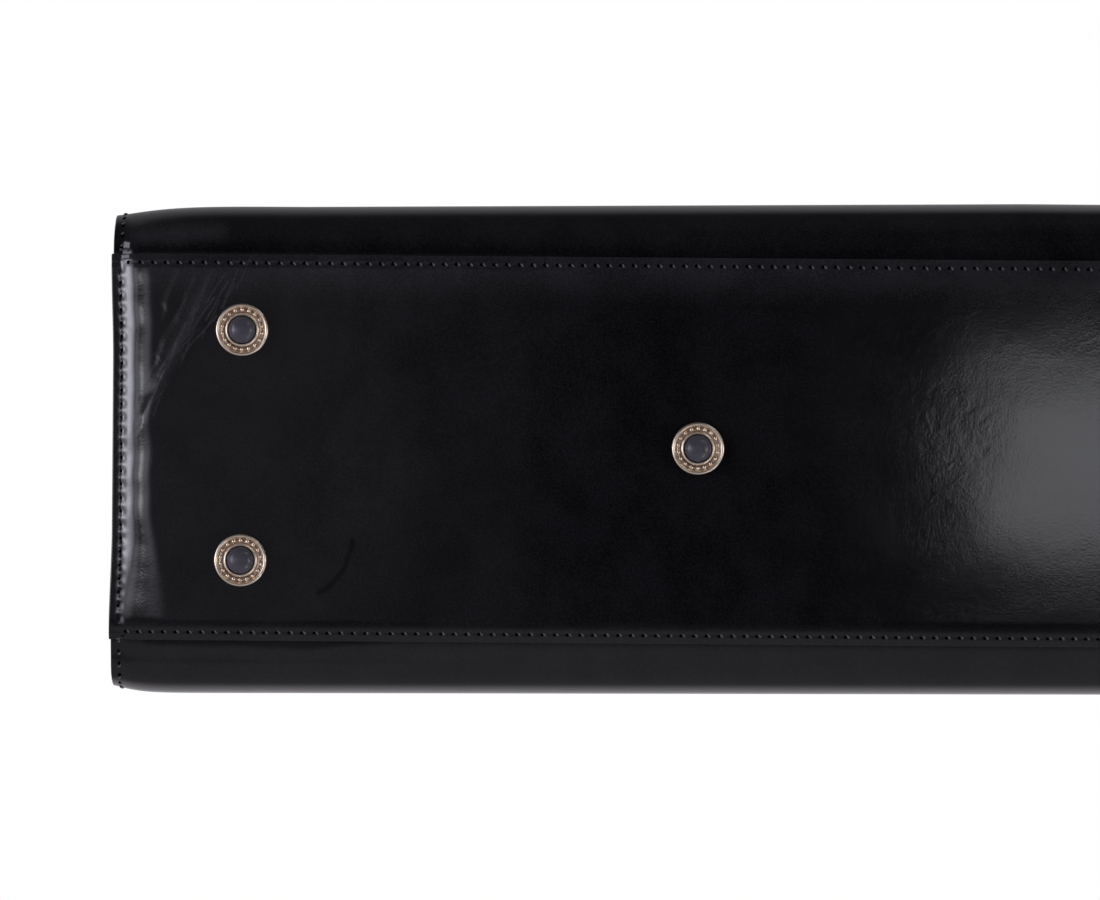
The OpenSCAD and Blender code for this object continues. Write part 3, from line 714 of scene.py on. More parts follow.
    def _rubbed(self) -> bpy.types.NodeTree:
        """Fine scratches and handling marks on metal, board and rubber."""
        tree, given, out = self._open("handling_marks", {"Fineness": 500.0}, ("Height", "Marks"))
        where = tree.add("ShaderNodeTexCoord").outputs["Object"]
        drawn = tree.vector("MULTIPLY", where, (0.12, 1.0, 0.6)).outputs[0]
        lines = tree.noise(drawn, given.outputs["Fineness"], 4.0, 0.65)
        cloud = tree.noise(where, 160.0, 4.0, 0.6)
        tree.put(out.inputs["Height"], lines)
        tree.put(out.inputs["Marks"], tree.math("MULTIPLY", tree.math("ADD", lines, cloud), 0.5))
        return tree.tree


def new_material(name: str) -> tuple[Material, Tree, bpy.types.Node]:
    """Starts a material.

    Args:
        name: Name of the material.

    Returns:
        The material, its tree and its shader node.
    """
    material = bpy.data.materials.new(name)
    tree = Tree.fresh(material)
    shader = tree.add("ShaderNodeBsdfPrincipled")
    tree.add("ShaderNodeOutputMaterial", {"Surface": shader.outputs[0]})
    return material, tree, shader


@dataclass(frozen=True)
class HideFinish:
    """Polished black leather, with lines of painted sheen, painted crease highlights and painted shade laid
    on it.
    """

    dark: Colour = (0.0006, 0.0005, 0.0010)
    light: Colour = (0.0094, 0.0085, 0.0114)
    # Lighter colour of the painted sheen lines, a painted highlight.
    sheen_tone: Colour = (0.027, 0.0264, 0.031)
    # Colour of the crease lines, a painted highlight.
    glint_tone: Colour = (0.044, 0.043, 0.050)
    # Near-black colour of the painted shade lines.
    shade_tone: Colour = (0.0004, 0.0004, 0.0005)
    rough: tuple[float, float] = (0.36, 0.48)
    specular: float = 0.06
    coat: float = 1.0
    coat_rough: float = 0.085
    pores: float = 1100.0
    streaks: float = 0.11
    dents: float = 0.13
    wrinkles: float = 0.09
    folds: float = 0.9
    relief: float = 0.00010
    sheen_least: float = 0.45
    glint_least: float = 0.25
    shade_share: float = 0.6
    shade_coat: float = 0.55
    # Lines for painted sheen, painted crease highlights and painted shade, in that order.
    wear_and_sheen: tuple[Line, ...] = ()
    crease_glints: tuple[Line, ...] = ()
    shade_lines: tuple[Line, ...] = ()

    @staticmethod
    def _lines(tree: Tree, effects: SharedEffects, lines: Sequence[Line]) -> Socket:
        """Joins soft lines into one mask."""
        both: Optional[Socket] = None
        for start, end, width in lines:
            values = {
                "Start": [c * MM for c in start], "End": [c * MM for c in end], "Width": width * MM
            }
            mask = tree.place(effects.crease, values).outputs["Mask"]
            both = mask if both is None else tree.math("MAXIMUM", both, mask)
        return both

    def make(self, name: str, effects: SharedEffects) -> Material:
        """Makes the material.

        Args:
            name: Name of the material.
            effects: The shared groups.

        Returns:
            The material.
        """
        material, tree, shader = new_material(name)
        hide = tree.place(
            effects.hide,
            {
                "Pores": self.pores, "Streaks": self.streaks, "Dents": self.dents,
                "Wrinkles": self.wrinkles, "Folds": self.folds,
            },
        )
        colour = tree.blend(hide.outputs["Tone"], self.dark, self.light)
        coat: Union[Socket, float] = self.coat
        # Painted highlights: the sheen lines and the crease lines lighten the colour where light would catch
        # the hide.
        for lines, tone, least in (
            (self.wear_and_sheen, self.sheen_tone, self.sheen_least), (self.crease_glints, self.glint_tone, self.glint_least)
        ):
            if lines:
                uneven = tree.ranged(hide.outputs["Tone"], 0.0, 1.0, least, 1.0)
                marks_and_sheen = tree.math("MULTIPLY", self._lines(tree, effects, lines), uneven)
                colour = tree.blend(marks_and_sheen, colour, tone)
        # Painted shade: darker colour and less coat along a crease and under a lapped edge.
        if self.shade_lines:
            shade_line = self._lines(tree, effects, self.shade_lines)
            colour = tree.blend(tree.math("MULTIPLY", shade_line, self.shade_share), colour, self.shade_tone)
            coat = tree.ranged(shade_line, 0.0, 1.0, self.coat, self.shade_coat * self.coat)
        tree.put(shader.inputs["Base Color"], colour)
        tree.put(shader.inputs["Roughness"], tree.ranged(hide.outputs["Gloss"], 0.3, 0.7, *self.rough))
        shader.inputs["Specular IOR Level"].default_value = self.specular
        tree.put(shader.inputs["Coat Weight"], coat)
        shader.inputs["Coat Roughness"].default_value = self.coat_rough
        normal = tree.bump(0.6, self.relief, hide.outputs["Height"])
        tree.put(shader.inputs["Normal"], normal)
        tree.put(shader.inputs["Coat Normal"], normal)
        return material


@dataclass(frozen=True)
class MarkedFinish:
    """Metal, board, rubber or thread with fine handling marks."""

    colour: Colour
    wear_and_sheen: Colour
    metallic: float = 0.0
    rough: tuple[float, float] = (0.3, 0.5)
    fineness: float = 600.0
    relief: float = 0.00002
    specular: float = 0.5

    def make(self, name: str, effects: SharedEffects) -> Material:
        """Makes the material.

        Args:
            name: Name of the material.
            effects: The shared groups.

        Returns:
            The material.
        """
        material, tree, shader = new_material(name)
        marks = tree.place(effects.marks_and_sheen, {"Fineness": self.fineness})
        share = tree.ranged(marks.outputs["Marks"], 0.35, 0.7, 0.0, 1.0)
        tree.put(shader.inputs["Base Color"], tree.blend(share, self.colour, self.wear_and_sheen))
        tree.put(shader.inputs["Roughness"], tree.ranged(marks.outputs["Marks"], 0.3, 0.7, *self.rough))
        shader.inputs["Metallic"].default_value = self.metallic
        shader.inputs["Specular IOR Level"].default_value = self.specular
        tree.put(shader.inputs["Normal"], tree.bump(0.5, self.relief, marks.outputs["Height"]))
        return material


@dataclass(frozen=True)
class ClothFinish:
    """Woven lining cloth."""

    dark: Colour = (0.20, 0.125, 0.065)
    light: Colour = (0.34, 0.225, 0.125)
    threads: float = 5200.0
    relief: float = 0.00012

    def make(self, name: str, effects: SharedEffects) -> Material:
        """Makes the material.

        Args:
            name: Name of the material.
            effects: The shared groups.

        Returns:
            The material.
        """
        material, tree, shader = new_material(name)
        weave = tree.place(effects.weave, {"Threads": self.threads})
        tree.put(shader.inputs["Base Color"], tree.blend(weave.outputs["Shade"], self.dark, self.light))
        tree.put(shader.inputs["Roughness"], tree.ranged(weave.outputs["Shade"], 0.0, 1.0, 0.92, 0.78))
        shader.inputs["Sheen Weight"].default_value = 0.25
        tree.put(shader.inputs["Normal"], tree.bump(0.7, self.relief, weave.outputs["Height"]))
        return material


@dataclass(frozen=True)
class CreaseScatter:
    """Fine light lines scattered along a line where the hide was bent: painted highlights on its creases."""

    seed: int = 8
    start: tuple[float, float] = (-172.0, -64.0)
    end: tuple[float, float] = (-204.0, -14.0)
    lie: tuple[float, float] = (-7.0, 11.0)
    spread: float = 5.5
    count: int = 18
    sizes: tuple[float, float] = (0.35, 0.75)
    widths: tuple[float, float] = (0.35, 0.8)
    sway: float = 0.2

    def lines(self) -> tuple[Line, ...]:
        """Gives the lines, each of which lies about one way and turns a little from it."""
        chance, made = random.Random(self.seed), []
        for k in range(self.count):
            t = (k + chance.uniform(0.1, 0.9)) / self.count
            x = mix(self.start[0], self.end[0], t) + chance.uniform(-self.spread, self.spread)
            y = mix(self.start[1], self.end[1], t) + chance.uniform(-0.5, 0.5) * self.spread
            size, turn = chance.uniform(*self.sizes), chance.uniform(-self.sway, self.sway)
            dx, dy = size * (self.lie[0] - turn * self.lie[1]), size * (self.lie[1] + turn * self.lie[0])
            made.append(((x - dx, y - dy, 0.0), (x + dx, y + dy, 0.0), chance.uniform(*self.widths)))
        return tuple(made)


def joined(points: Sequence[Point], width: float) -> tuple[Line, ...]:
    """Lines of one width from each point to the next."""
    return tuple((p, q, width) for p, q in zip(points, points[1:]))


class Finishes:
    """Every material of the bag."""

    def __init__(self) -> None:
        """Makes the materials."""
        effects = SharedEffects()
        # Painted sheen: a lighter band along the front seam margin, and lighter lines on the wrinkles near
        # the front left corner.
        base_sheen = (
            ((-212.0, -69.0, 0.0), (214.0, -69.0, 0.0), 18.0),
            ((-179.0, -66.0, 0.0), (-195.0, -32.0, 0.0), 6.0),
            ((-195.0, -32.0, 0.0), (-206.0, -10.0, 0.0), 5.0),
        )
        # Painted shade along a curved crease in the base.
        shade_arc_at, shade_arc_r, shade_arc_turn = (-149.0, 35.0), 21.5, 1.13
        shade_line = [
            (shade_arc_at[0] + shade_arc_r * math.cos(a), shade_arc_at[1] + shade_arc_r * math.sin(a), 0.0)
            for a in spaced(0.0, shade_arc_turn, 6)
        ]
        # Painted shadow on the back wall under the base panel's lapped edge, where the coat is also thinner.
        lap_shadow = [(-203.0, 72.6, 0.0), (-172.0, 73.0, 0.0), (-143.0, 73.8, 0.0), (-114.0, 71.2, 0.0)]
        # Painted sheen low on the front wall near its left end.
        front_sheen = (((-207.0, -77.0, 0.0), (-178.0, -79.0, 0.0), 6.0),)
        self.leather = HideFinish().make("black_leather", effects)
        self.front_leather = HideFinish(wear_and_sheen=front_sheen).make("black_leather_front", effects)
        self.back_leather = HideFinish(shade_lines=joined(lap_shadow, 3.2)).make("black_leather_back", effects)
        # The base takes painted sheen, painted crease highlights and a painted shade line.
        self.base_leather = HideFinish(
            wear_and_sheen=base_sheen, crease_glints=CreaseScatter().lines(), shade_lines=joined(shade_line, 1.9)
        ).make("black_leather_base", effects)
        self.cover_leather = HideFinish(folds=0.5, streaks=0.35).make("black_leather_cover", effects)
        self.grip_leather = HideFinish(folds=0.6, streaks=0.3, rough=(0.28, 0.4)).make(
            "black_leather_grip", effects
        )
        self.thread = MarkedFinish(
            (0.075, 0.075, 0.082), (0.120, 0.119, 0.128), rough=(0.35, 0.5), fineness=2600.0, relief=0.00008
        ).make("waxed_thread", effects)
        # Near-black matte colour of the needle-hole lenses: painted shade inside the holes.
        self.hole_shade = MarkedFinish(
            (0.0008, 0.0008, 0.0009), (0.0014, 0.0014, 0.0015), rough=(0.9, 1.0), specular=0.0
        ).make("stitch_hole_shade", effects)
        self.gold = MarkedFinish(
            (0.86, 0.69, 0.54), (0.94, 0.80, 0.66), metallic=1.0, rough=(0.17, 0.28), fineness=900.0
        ).make("pale_gold", effects)
        # Paler, rougher copy of the gold for the ring's body: its paler colour is a painted highlight.
        self.rim_gold = MarkedFinish(
            (0.96, 0.80, 0.64), (0.99, 0.87, 0.74), metallic=1.0, rough=(0.29, 0.38), fineness=900.0
        ).make("rim_gold", effects)
        # Darker copy of the gold for the rings' dished bands: painted shade, with about the same roughness as
        # the paler copy.
        self.shaded_gold = MarkedFinish(
            (0.50, 0.36, 0.27), (0.62, 0.46, 0.36), metallic=1.0, rough=(0.30, 0.42), fineness=900.0
        ).make("shaded_gold", effects)
        self.steel = MarkedFinish(
            (0.30, 0.30, 0.31), (0.42, 0.42, 0.42), metallic=1.0, rough=(0.22, 0.36), fineness=1200.0
        ).make("plain_steel", effects)
        self.rubber = MarkedFinish(
            (0.064, 0.063, 0.082), (0.084, 0.081, 0.104), rough=(0.28, 0.36), fineness=1500.0, relief=0.00003
        ).make("stud_rubber", effects)
        self.board = MarkedFinish(
            (0.30, 0.27, 0.23), (0.40, 0.37, 0.32), rough=(0.8, 0.95), fineness=800.0, relief=0.0001
        ).make("fibre_board", effects)
        self.cloth = ClothFinish().make("lining_cloth", effects)


@dataclass(frozen=True)
class Stitch:
    """Sizes of one saddle stitch."""

    pitch: float = 4.67
    length: float = 1.7
    radius: float = 0.40
    slant: float = -1.0
    rise: float = 0.20
    sink: float = 0.36
    # Size of the dark lens of painted shade at each needle hole.
    hole_shade: float = 0.70
    gap: float = 1.05


@dataclass
class Seam:
    """A row of stitches on a surface."""

    name: str
    stitch: Stitch
    path: Sequence[tuple[Vector, Vector]]
    seed: int
    hole_side: float = -1.0

    def build(self, finishes: Finishes) -> Piece:
        """Makes threads, and dark lenses of painted shade for the needle holes, along the path.

        Args:
            finishes: The materials.

        Returns:
            One object with all the stitches of the seam.
        """
        maker, chance = MeshMaker(self.name), random.Random(self.seed)
        gaps = ((q - p).length for (p, _), (q, _) in zip(self.path, self.path[1:]))
        run = list(itertools.accumulate(gaps, initial=0.0))
        count = max(1, int(run[-1] / self.stitch.pitch))
        first = (run[-1] - (count - 1) * self.stitch.pitch) / 2.0
        for i, t in stops_along(run, [first + k * self.stitch.pitch for k in range(count)]):
            p = self.path[i][0].lerp(self.path[i + 1][0], t)
            normal = self.path[i][1].lerp(self.path[i + 1][1], t).normalized()
            way = (self.path[i + 1][0] - self.path[i][0]).normalized()
            self._one(maker, p, way, normal, chance)
        return maker.build([finishes.thread, finishes.hole_shade])

    def _one(self, maker: MeshMaker, p: Vector, way: Vector, normal: Vector, chance: random.Random) -> None:
        """Adds one stitch at a point, along a way, on a surface with a normal."""
        st = self.stitch
        side = normal.cross(way).normalized()
        a = st.slant + chance.uniform(-0.08, 0.08)
        along = (way * math.cos(a) + side * math.sin(a)).normalized()
        cross = normal.cross(along).normalized()
        length = st.length * chance.uniform(0.92, 1.06)
        rings = []
        for t in spaced(-1.0, 1.0, 7):
            height = st.rise * (1.0 - t * t) - st.sink * t**4
            fat = st.radius * (1.0 - 0.45 * abs(t) ** 3)
            middle = p + along * (0.5 * length * t) + normal * height
            rings.append([
                tuple(middle + cross * (fat * math.cos(b)) + normal * (fat * 0.9 * math.sin(b)))
                for b in turns(6)
            ])
        maker.tube(rings, 0)
        self._hole_shade(maker, p + way * (st.gap * self.hole_side), side, way, normal)

    def _hole_shade(self, maker: MeshMaker, p: Vector, along: Vector, cross: Vector, normal: Vector) -> None:
        """Adds a thin dark lens beside a stitch, painted shade that stands for its needle hole."""
        rings = []
        for lift, share in ((-0.12, 0.6), (0.02, 1.0), (0.06, 0.55)):
            rings.append([
                tuple(
                    p + normal * lift
                    + along * (self.stitch.hole_shade * share * 1.15 * math.cos(b))
                    + cross * (self.stitch.hole_shade * share * math.sin(b))
                )
                for b in turns(8)
            ])
        maker.tube(rings, 1)


@dataclass
class Base:
    """Base panel with its filler, lining and seams."""

    form: BagForm
    finishes: Finishes
    half_w: float = 70.5
    under_z: float = 5.5
    lap_y: float = 61.5
    filler_z: float = 7.5
    filler_inset: float = 5.0
    lining_z: float = 12.5
    lining_half_l: float = 203.8
    lining_half_w: float = 76.5
    seam_inset: float = 3.3
    back_extra: float = 1.9
    end_inset: float = 3.3
    end_seam: float = 3.6
    feet: tuple[tuple[float, float], ...] = (
        (-168.5, -42.5), (-168.5, 42.5), (168.5, -42.5), (168.5, 42.5), (0.0, 0.0)
    )
    seat_r: float = 10.5
    seat_fade: float = 55.0
    flare: float = 0.9
    crown: float = 0.875
    crown_run: float = 9.0
    front_crown: float = 0.25
    wave: float = 0.30
    pucker: float = 0.04
    seam_draw: float = 0.12
    edge_draw: float = 0.30
    scallop: float = 0.38
    slack_from: float = 26.0
    slack_to: float = 68.0
    filler_t: float = 1.8
    lining_t: float = 0.7
    wrinkles: tuple[tuple[float, float, float, float, float, float], ...] = (
        (-178.3, -66.0, -187.5, -45.5, 0.20, 1.7),
        (-187.5, -45.5, -198.0, -25.0, 0.24, 1.8),
        (-198.0, -25.0, -205.0, -10.0, 0.22, 1.7),
        (-183.0, -66.0, -192.0, -46.0, 0.16, 1.4),
        (-192.0, -46.0, -199.0, -33.0, 0.14, 1.4),
        (-189.5, -68.0, -196.0, -52.0, 0.12, 1.4),
    )
    end_run: float = 62.5
    thread: Stitch = Stitch()
    end_thread: Stitch = Stitch(
        pitch=5.0, length=1.6, radius=0.28, slant=-0.2, rise=-0.2, hole_shade=0.78, gap=0.0
    )

    def edge(self, y: float) -> float:
        """Distance of a place from the panel's nearer long edge."""
        return self.half_w - abs(y) + (self.back_extra if y > 0.0 else 0.0)

    def crumple(self, x: float, y: float) -> float:
        """How far the hide's wrinkles near one corner stand out."""
        if x > -165.0 or y > 0.0:
            return 0.0
        tall = 0.0
        for ax, ay, bx, by, rise, width in self.wrinkles:
            px, py, lx, ly = x - ax, y - ay, bx - ax, by - ay
            t = min(1.0, max(0.0, (px * lx + py * ly) / (lx * lx + ly * ly)))
            away = math.hypot(px - t * lx, py - t * ly)
            away = math.copysign(away, ly * px - lx * py) + 0.6 * wander(x / 6.0, y / 6.0, 8.0)
            tall = max(tall, rise * math.exp(-((away / (width if away < 0.0 else 3.0 * width)) ** 2)))
        return tall

    def underside(self, x: float, y: float) -> float:
        """Height of the base panel's outer face at a place."""
        e = self.form.half_l - abs(x)
        calm, pucker = 1.0, 0.0
        for fx, fy in self.feet:
            r = math.hypot(x - fx, y - fy)
            calm *= smoothstep(self.seat_r, self.seat_fade, r)
            pucker -= self.pucker * hump(r, 14.0, 4.0)
        edge = self.edge(y)
        soft = self.wave * calm * smoothstep(0.0, 20.0, edge) * mix(1.0, 0.3, smoothstep(30.0, 80.0, x)) * (
            wander(x / 75.0, y / 52.0, 1.0) + 0.45 * wander(x / 30.0, y / 24.0, 2.0)
        )
        drawn = self.seam_draw * hump(edge, self.seam_inset, 1.0)
        drawn = drawn + self.edge_draw * (1.0 - smoothstep(0.0, 3.0, edge))
        beat = math.cos(2.0 * math.pi * y / self.end_thread.pitch)
        seed = 0.2 * math.copysign(1.0, x)
        uneven = 0.6 * wander(y / 26.0, seed, 6.0) + 0.35 * wander(y / 8.0, seed, 9.0)
        e += uneven * smoothstep(2.0, 7.0, e)
        e -= self.scallop * beat * hump(e, 3.4, 1.2) * smoothstep(0.0, 5.0, edge)
        slack = mix(1.0, self.form.slack_back, smoothstep(self.slack_from, self.slack_to, y))
        crown = (self.crown if y > 0.0 else self.front_crown) * max(0.0, 1.0 - edge / self.crown_run) ** 2
        return self.under_z + self.form.roll(e, slack) + soft + drawn + crown + pucker - self.crumple(x, y)

    def splay(self, y: float) -> float:
        """How much longer the panel is towards its corners."""
        return 1.0 + self.flare * (smoothstep(30.0, self.half_w, abs(y)) - 0.35) / self.form.half_l

    def build(self) -> None:
        """Makes the panel, filler and lining, and sews the panel on."""
        xs = fine_ended(-self.form.half_l, self.form.half_l, 50.0, 0.72, 2.2)
        ys = fine_ended(-self.half_w, self.half_w + self.back_extra, 8.0, 0.6, 0.78)
        panel = MeshMaker("base_panel_leather")
        panel.grid([[(x * self.splay(y), y, self.underside(x, y)) for x in xs] for y in ys])
        self._dress(panel, self.finishes.base_leather, self.form.leather_t, "base_panel", "black_leather", -1)
        filler = MeshMaker("base_filler_felt")
        within = [x for x in xs if abs(x) < self.form.half_l - self.filler_inset]
        filler.grid([
            [(x, y, self.filler_z + 0.1 + self.form.roll(self.form.half_l - abs(x))) for x in within]
            for y in spaced(-self.lap_y, self.lap_y, 12)
        ])
        self._dress(filler, self.finishes.board, self.filler_t, "base_filler", "fibre_board", -1)
        self._lining()
        self._seams()

    def _dress(
        self, maker: MeshMaker, material: Material, thickness: float, node: str, slot: str, up: int
    ) -> Piece:
        """Builds a flat-lying sheet whose outer face looks up (1) or down (-1)."""
        piece = thicken(maker.build([material], lambda p: Vector((0.0, 0.0, up))), thickness, 0.45)
        return settle(piece, slot, node, "body")

    def _lining(self) -> None:
        """Lays the lining cloth on the base board."""
        maker = MeshMaker("base_lining_cloth")
        maker.grid([
            [
                (x, y, self.lining_z + 0.85 + 0.12 * wander(x / 40.0, y / 40.0, 7.0))
                for x in spaced(-self.lining_half_l, self.lining_half_l, 90)
            ]
            for y in spaced(-self.lining_half_w, self.lining_half_w, 34)
        ])
        piece = self._dress(maker, self.finishes.cloth, self.lining_t, "base_lining", "lining_cloth", 1)

    def _seams(self) -> None:
        """Sews the panel along its long edges and its ends."""
        down = Vector((0.0, 0.0, -1.0))
        reach = self.form.half_l - self.end_inset
        end = self.form.half_l - self.end_seam
        wide = self.half_w - self.seam_inset
        back = self.half_w + self.back_extra - self.seam_inset
        tall = self.end_run
        lines = {
            "base_seam_front": ([(x, -wide) for x in spaced(-reach, reach, 240)], self.thread, -1.0),
            "base_seam_back": ([(x, back) for x in spaced(reach, -reach, 240)], self.thread, 1.0),
            "base_seam_left": ([(-end, y) for y in spaced(tall, -tall, 80)], self.end_thread, -1.0),
            "base_seam_right": ([(end, y) for y in spaced(-tall, tall, 80)], self.end_thread, -1.0),
        }
        for seed, (name, (line, thread, side)) in enumerate(lines.items()):
            path = [(Vector((x * self.splay(y), y, self.underside(x, y))), down) for x, y in line]
            piece = Seam(name, thread, path, 40 + seed, side).build(self.finishes)
            settle(piece, "black_leather", body="body")


@dataclass
class Feet:
    """Five feet: a pale gold ring with a beaded band, and a domed stud."""

    base: Base
    finishes: Finishes
    ring_r: float = 9.65
    ring_h: float = 3.0
    rim_w: float = 1.25
    stud_r: float = 4.95
    stud_flat_r: float = 0.6
    bead_r: float = 0.74
    bead_count: int = 18
    bead_circle: float = 7.35
    band_depth: float = 0.85
    stud_gap: float = 0.28
    stud_lift: float = 0.6
    steps: int = 72

    def build(self) -> None:
        """Makes the rings and the studs."""
        rings = MeshMaker("foot_rings_gold")
        studs = MeshMaker("foot_studs_rubber")
        for x, y in self.base.feet:
            self._ring(rings, x, y)
            self._stud(studs, x, y)
        golds = [self.finishes.rim_gold, self.finishes.shaded_gold, self.finishes.gold]
        settle(rings.build(golds), "pale_gold", "foot_rings", "body")
        settle(studs.build([self.finishes.rubber]), "stud_rubber", "foot_studs", "body")

    def _ring(self, maker: MeshMaker, x: float, y: float) -> None:
        """Adds one ring with its rim, dished band, inner lip and beads; the ring takes a paler gold, a
        painted highlight, and the band's floor a darker gold, painted shade.
        """
        top, face = self.base.under_z, self.base.under_z - self.ring_h
        r, w = self.ring_r, self.rim_w
        band = face + self.band_depth
        inner = self.stud_r + self.stud_gap
        line = [(inner, top), (inner, band - 0.15), (inner + 0.12, band - 0.42), (inner + 0.4, band - 0.5)]
        line += [(inner + 0.68, band - 0.4), (inner + 0.85, band - 0.05), (inner + 1.05, band + 0.05)]
        line += [(r - w - 0.35, band + 0.05), (r - w - 0.12, band - 0.1)]
        for a in spaced(math.pi * 0.95, 0.05 * math.pi, 9):
            line.append((r - w / 2 + (w / 2) * math.cos(a), face + 0.62 - 0.62 * math.sin(a)))
        line += [(r, face + 1.2), (r - 0.05, top)]
        maker.lathe((x, y, 0.0), line, self.steps)
        low, high = inner + 1.0, r - w - 0.3
        floor = [(low, band - 0.03), (high, band - 0.03), (high, band + 0.1), (low, band + 0.1)]
        # The band's floor takes the darker gold, painted shade.
        maker.lathe((x, y, 0.0), floor, self.steps, 1)
        for k in range(self.bead_count):
            a = 2.0 * math.pi * (k + 0.5) / self.bead_count
            centre = Vector((x + self.bead_circle * math.cos(a), y + self.bead_circle * math.sin(a), band))
            self._bead(maker, centre)

    def _bead(self, maker: MeshMaker, centre: Vector) -> None:
        """Adds one small plain bead."""
        rings = []
        for b in spaced(-0.46 * math.pi, 0.46 * math.pi, 7):
            ring_r = self.bead_r * math.cos(b)
            rings.append([
                (
                    centre.x + ring_r * math.cos(c),
                    centre.y + ring_r * math.sin(c),
                    centre.z + 0.85 * self.bead_r * math.sin(b),
                )
                for c in turns(12)
            ])
        maker.tube(rings, 2)

    def _stud(self, maker: MeshMaker, x: float, y: float) -> None:
        """Adds one domed stud, flat where it stands."""
        top, rise = self.base.under_z, self.base.under_z - self.ring_h + self.stud_lift
        line = []
        for a in spaced(0.0, 0.5 * math.pi, 12):
            r = self.stud_flat_r + (self.stud_r - self.stud_flat_r) * math.sin(a)
            line.append((r, rise * (1.0 - math.cos(a))))
        maker.tube([
            [(x + r * math.cos(c), y + r * math.sin(c), z) for c in turns(self.steps)]
            for r, z in [*line, (self.stud_r, top)]
        ])


@dataclass
class Wall:
    """One leather wall with its lining and its end seams."""

    form: BagForm
    finishes: Finishes
    half: Half
    lap_d: float = 61.5
    step: float = 3.2
    lining_t: float = 0.8
    lining_from: float = 13.6
    lining_depths: tuple[float, float] = (4.5, 2.9)
    lining_ends: tuple[float, float] = (4.6, 3.3)
    end_inset: float = 3.3
    end_run: float = 16.0
    wave: float = 1.5
    slump: float = 2.2
    gather: float = 0.8
    tug: float = 1.1
    seam_from: float = 72.0
    seam_top: float = 226.0
    thread: Stitch = Stitch()

    def soft(self, x: float, z: float, e: float) -> float:
        """How far the wall stands out of its plain form at a place."""
        seed = 11.0 + self.half.value
        free = smoothstep(self.form.still_z - 8.0, self.form.still_z + 12.0, z)
        hang = smoothstep(30.0, 110.0, z) * (1.0 - smoothstep(228.0, 264.0, z))
        wave = self.wave * hang * wander(x / 92.0, z / 66.0, seed)
        wave = max(0.0, wave) + free * min(0.0, wave)
        slump = self.slump * hump(z, 168.0, 26.0) * (0.65 + 0.6 * wander(x / 110.0, 0.3, seed + 5.0))
        under_frame = smoothstep(200.0, 236.0, z) * (1.0 - smoothstep(256.0, 270.0, z))
        gathers = self.gather * under_frame * wander(x / 15.0, z / 85.0, seed + 2.0)
        tug = self.tug * hump(e, 34.0, 20.0) * hump(z, 176.0, 34.0) * math.sin((z - 0.8 * e) / 8.5)
        quiet = smoothstep(2.0, 22.0, e)
        return quiet * (wave + max(0.0, slump) * hang + gathers + tug)

    def point(self, s: Section, x: float, e: float, depth: float) -> Point:
        """Point of the wall at a depth below its outer face."""
        d, z = s.inside(depth - self.form.stand(self.half, x, e, s.z) - self.soft(x, s.z, e))
        return (x, self.half.value * d, z)

    def columns(self, z: float) -> list[tuple[float, float]]:
        """Pairs of X and distance from the nearer end across the wall at a height."""
        length = self.form.half_length(z)
        middle = length - self.end_run
        ends = spaced(0.0, self.end_run, 22)[:-1]
        xs = [(-length + e, e) for e in ends]
        xs += [(f * middle, length - abs(f) * middle) for f in spaced(-1.0, 1.0, 132)]
        return xs + [(length - e, e) for e in reversed(ends)]

    def outward(self, p: Vector) -> Vector:
        """Way that the wall's outer face looks."""
        return Vector((0.0, self.half.value * 0.6, -1.0 if p.z < 12.0 else 0.3))

    def build(self) -> None:
        """Makes the leather, the lining and the end seams."""
        word = self.half.panel_name
        leather = MeshMaker(f"{word}_panel_leather")
        rows = self.form.sections(self.lap_d, self.step)
        leather.grid([[self.point(s, x, e, 0.0) for x, e in self.columns(s.z)] for s in rows])
        hide = self.finishes.front_leather if self.half is Half.FRONT else self.finishes.back_leather
        piece = thicken(leather.build([hide], self.outward), self.form.leather_t, 0.45)
        self.form.hang(piece, self.half)
        settle(piece, "black_leather", f"{word}_panel")
        self._lining(word, rows)
        for end in End:
            self._seam(word, end)

    def _lining(self, word: str, rows: Sequence[Section]) -> None:
        """Hangs the lining cloth behind the leather and its board."""
        maker = MeshMaker(f"{word}_lining_cloth")
        grid = []
        for s in rows:
            still = self.form.still_z
            depth = mix(*self.lining_depths, smoothstep(still - 2.0, still + 12.0, s.z))
            d, z = s.inside(depth)
            if z < self.lining_from:
                continue
            length = self.form.gusset_face(d, z) - mix(*self.lining_ends, smoothstep(139.0, 150.0, z))
            length = min(length, self.form.half_length(z) - 3.0)
            row = []
            for f in spaced(-1.0, 1.0, 100):
                x = f * length
                e = self.form.half_length(s.z) - abs(x)
                lift = min(self.soft(x, s.z, e) * smoothstep(0.0, 30.0, length - abs(x)), 3.0)
                dd, zz = s.inside(depth - lift)
                row.append((x, self.half.value * dd, zz))
            grid.append(row)
        maker.grid(grid)
        piece = maker.build([self.finishes.cloth], lambda p: -self.outward(p))
        thicken(piece, self.lining_t, 0.2)
        self.form.hang(piece, self.half)
        settle(piece, "lining_cloth", f"{word}_lining")

    def _seam(self, word: str, end: End) -> None:
        """Sews the wall to the gusset's flange at one end."""
        path = []
        for s in self.form.sections(self.seam_from, 2.0, self.seam_top):
            length = self.form.half_length(s.z)
            x, y, z = self.point(s, end.value * (length - self.end_inset), self.end_inset, 0.0)
            path.append((Vector((x, y, z)), Vector((0.0, self.half.value * s.nd, s.nz))))
        name = f"{word}_end_seam_{end.word}"
        piece = Seam(name, self.thread, path, 60 + 2 * end.value + self.half.value).build(self.finishes)
        self.form.hang(piece, self.half)
        settle(piece, "black_leather")


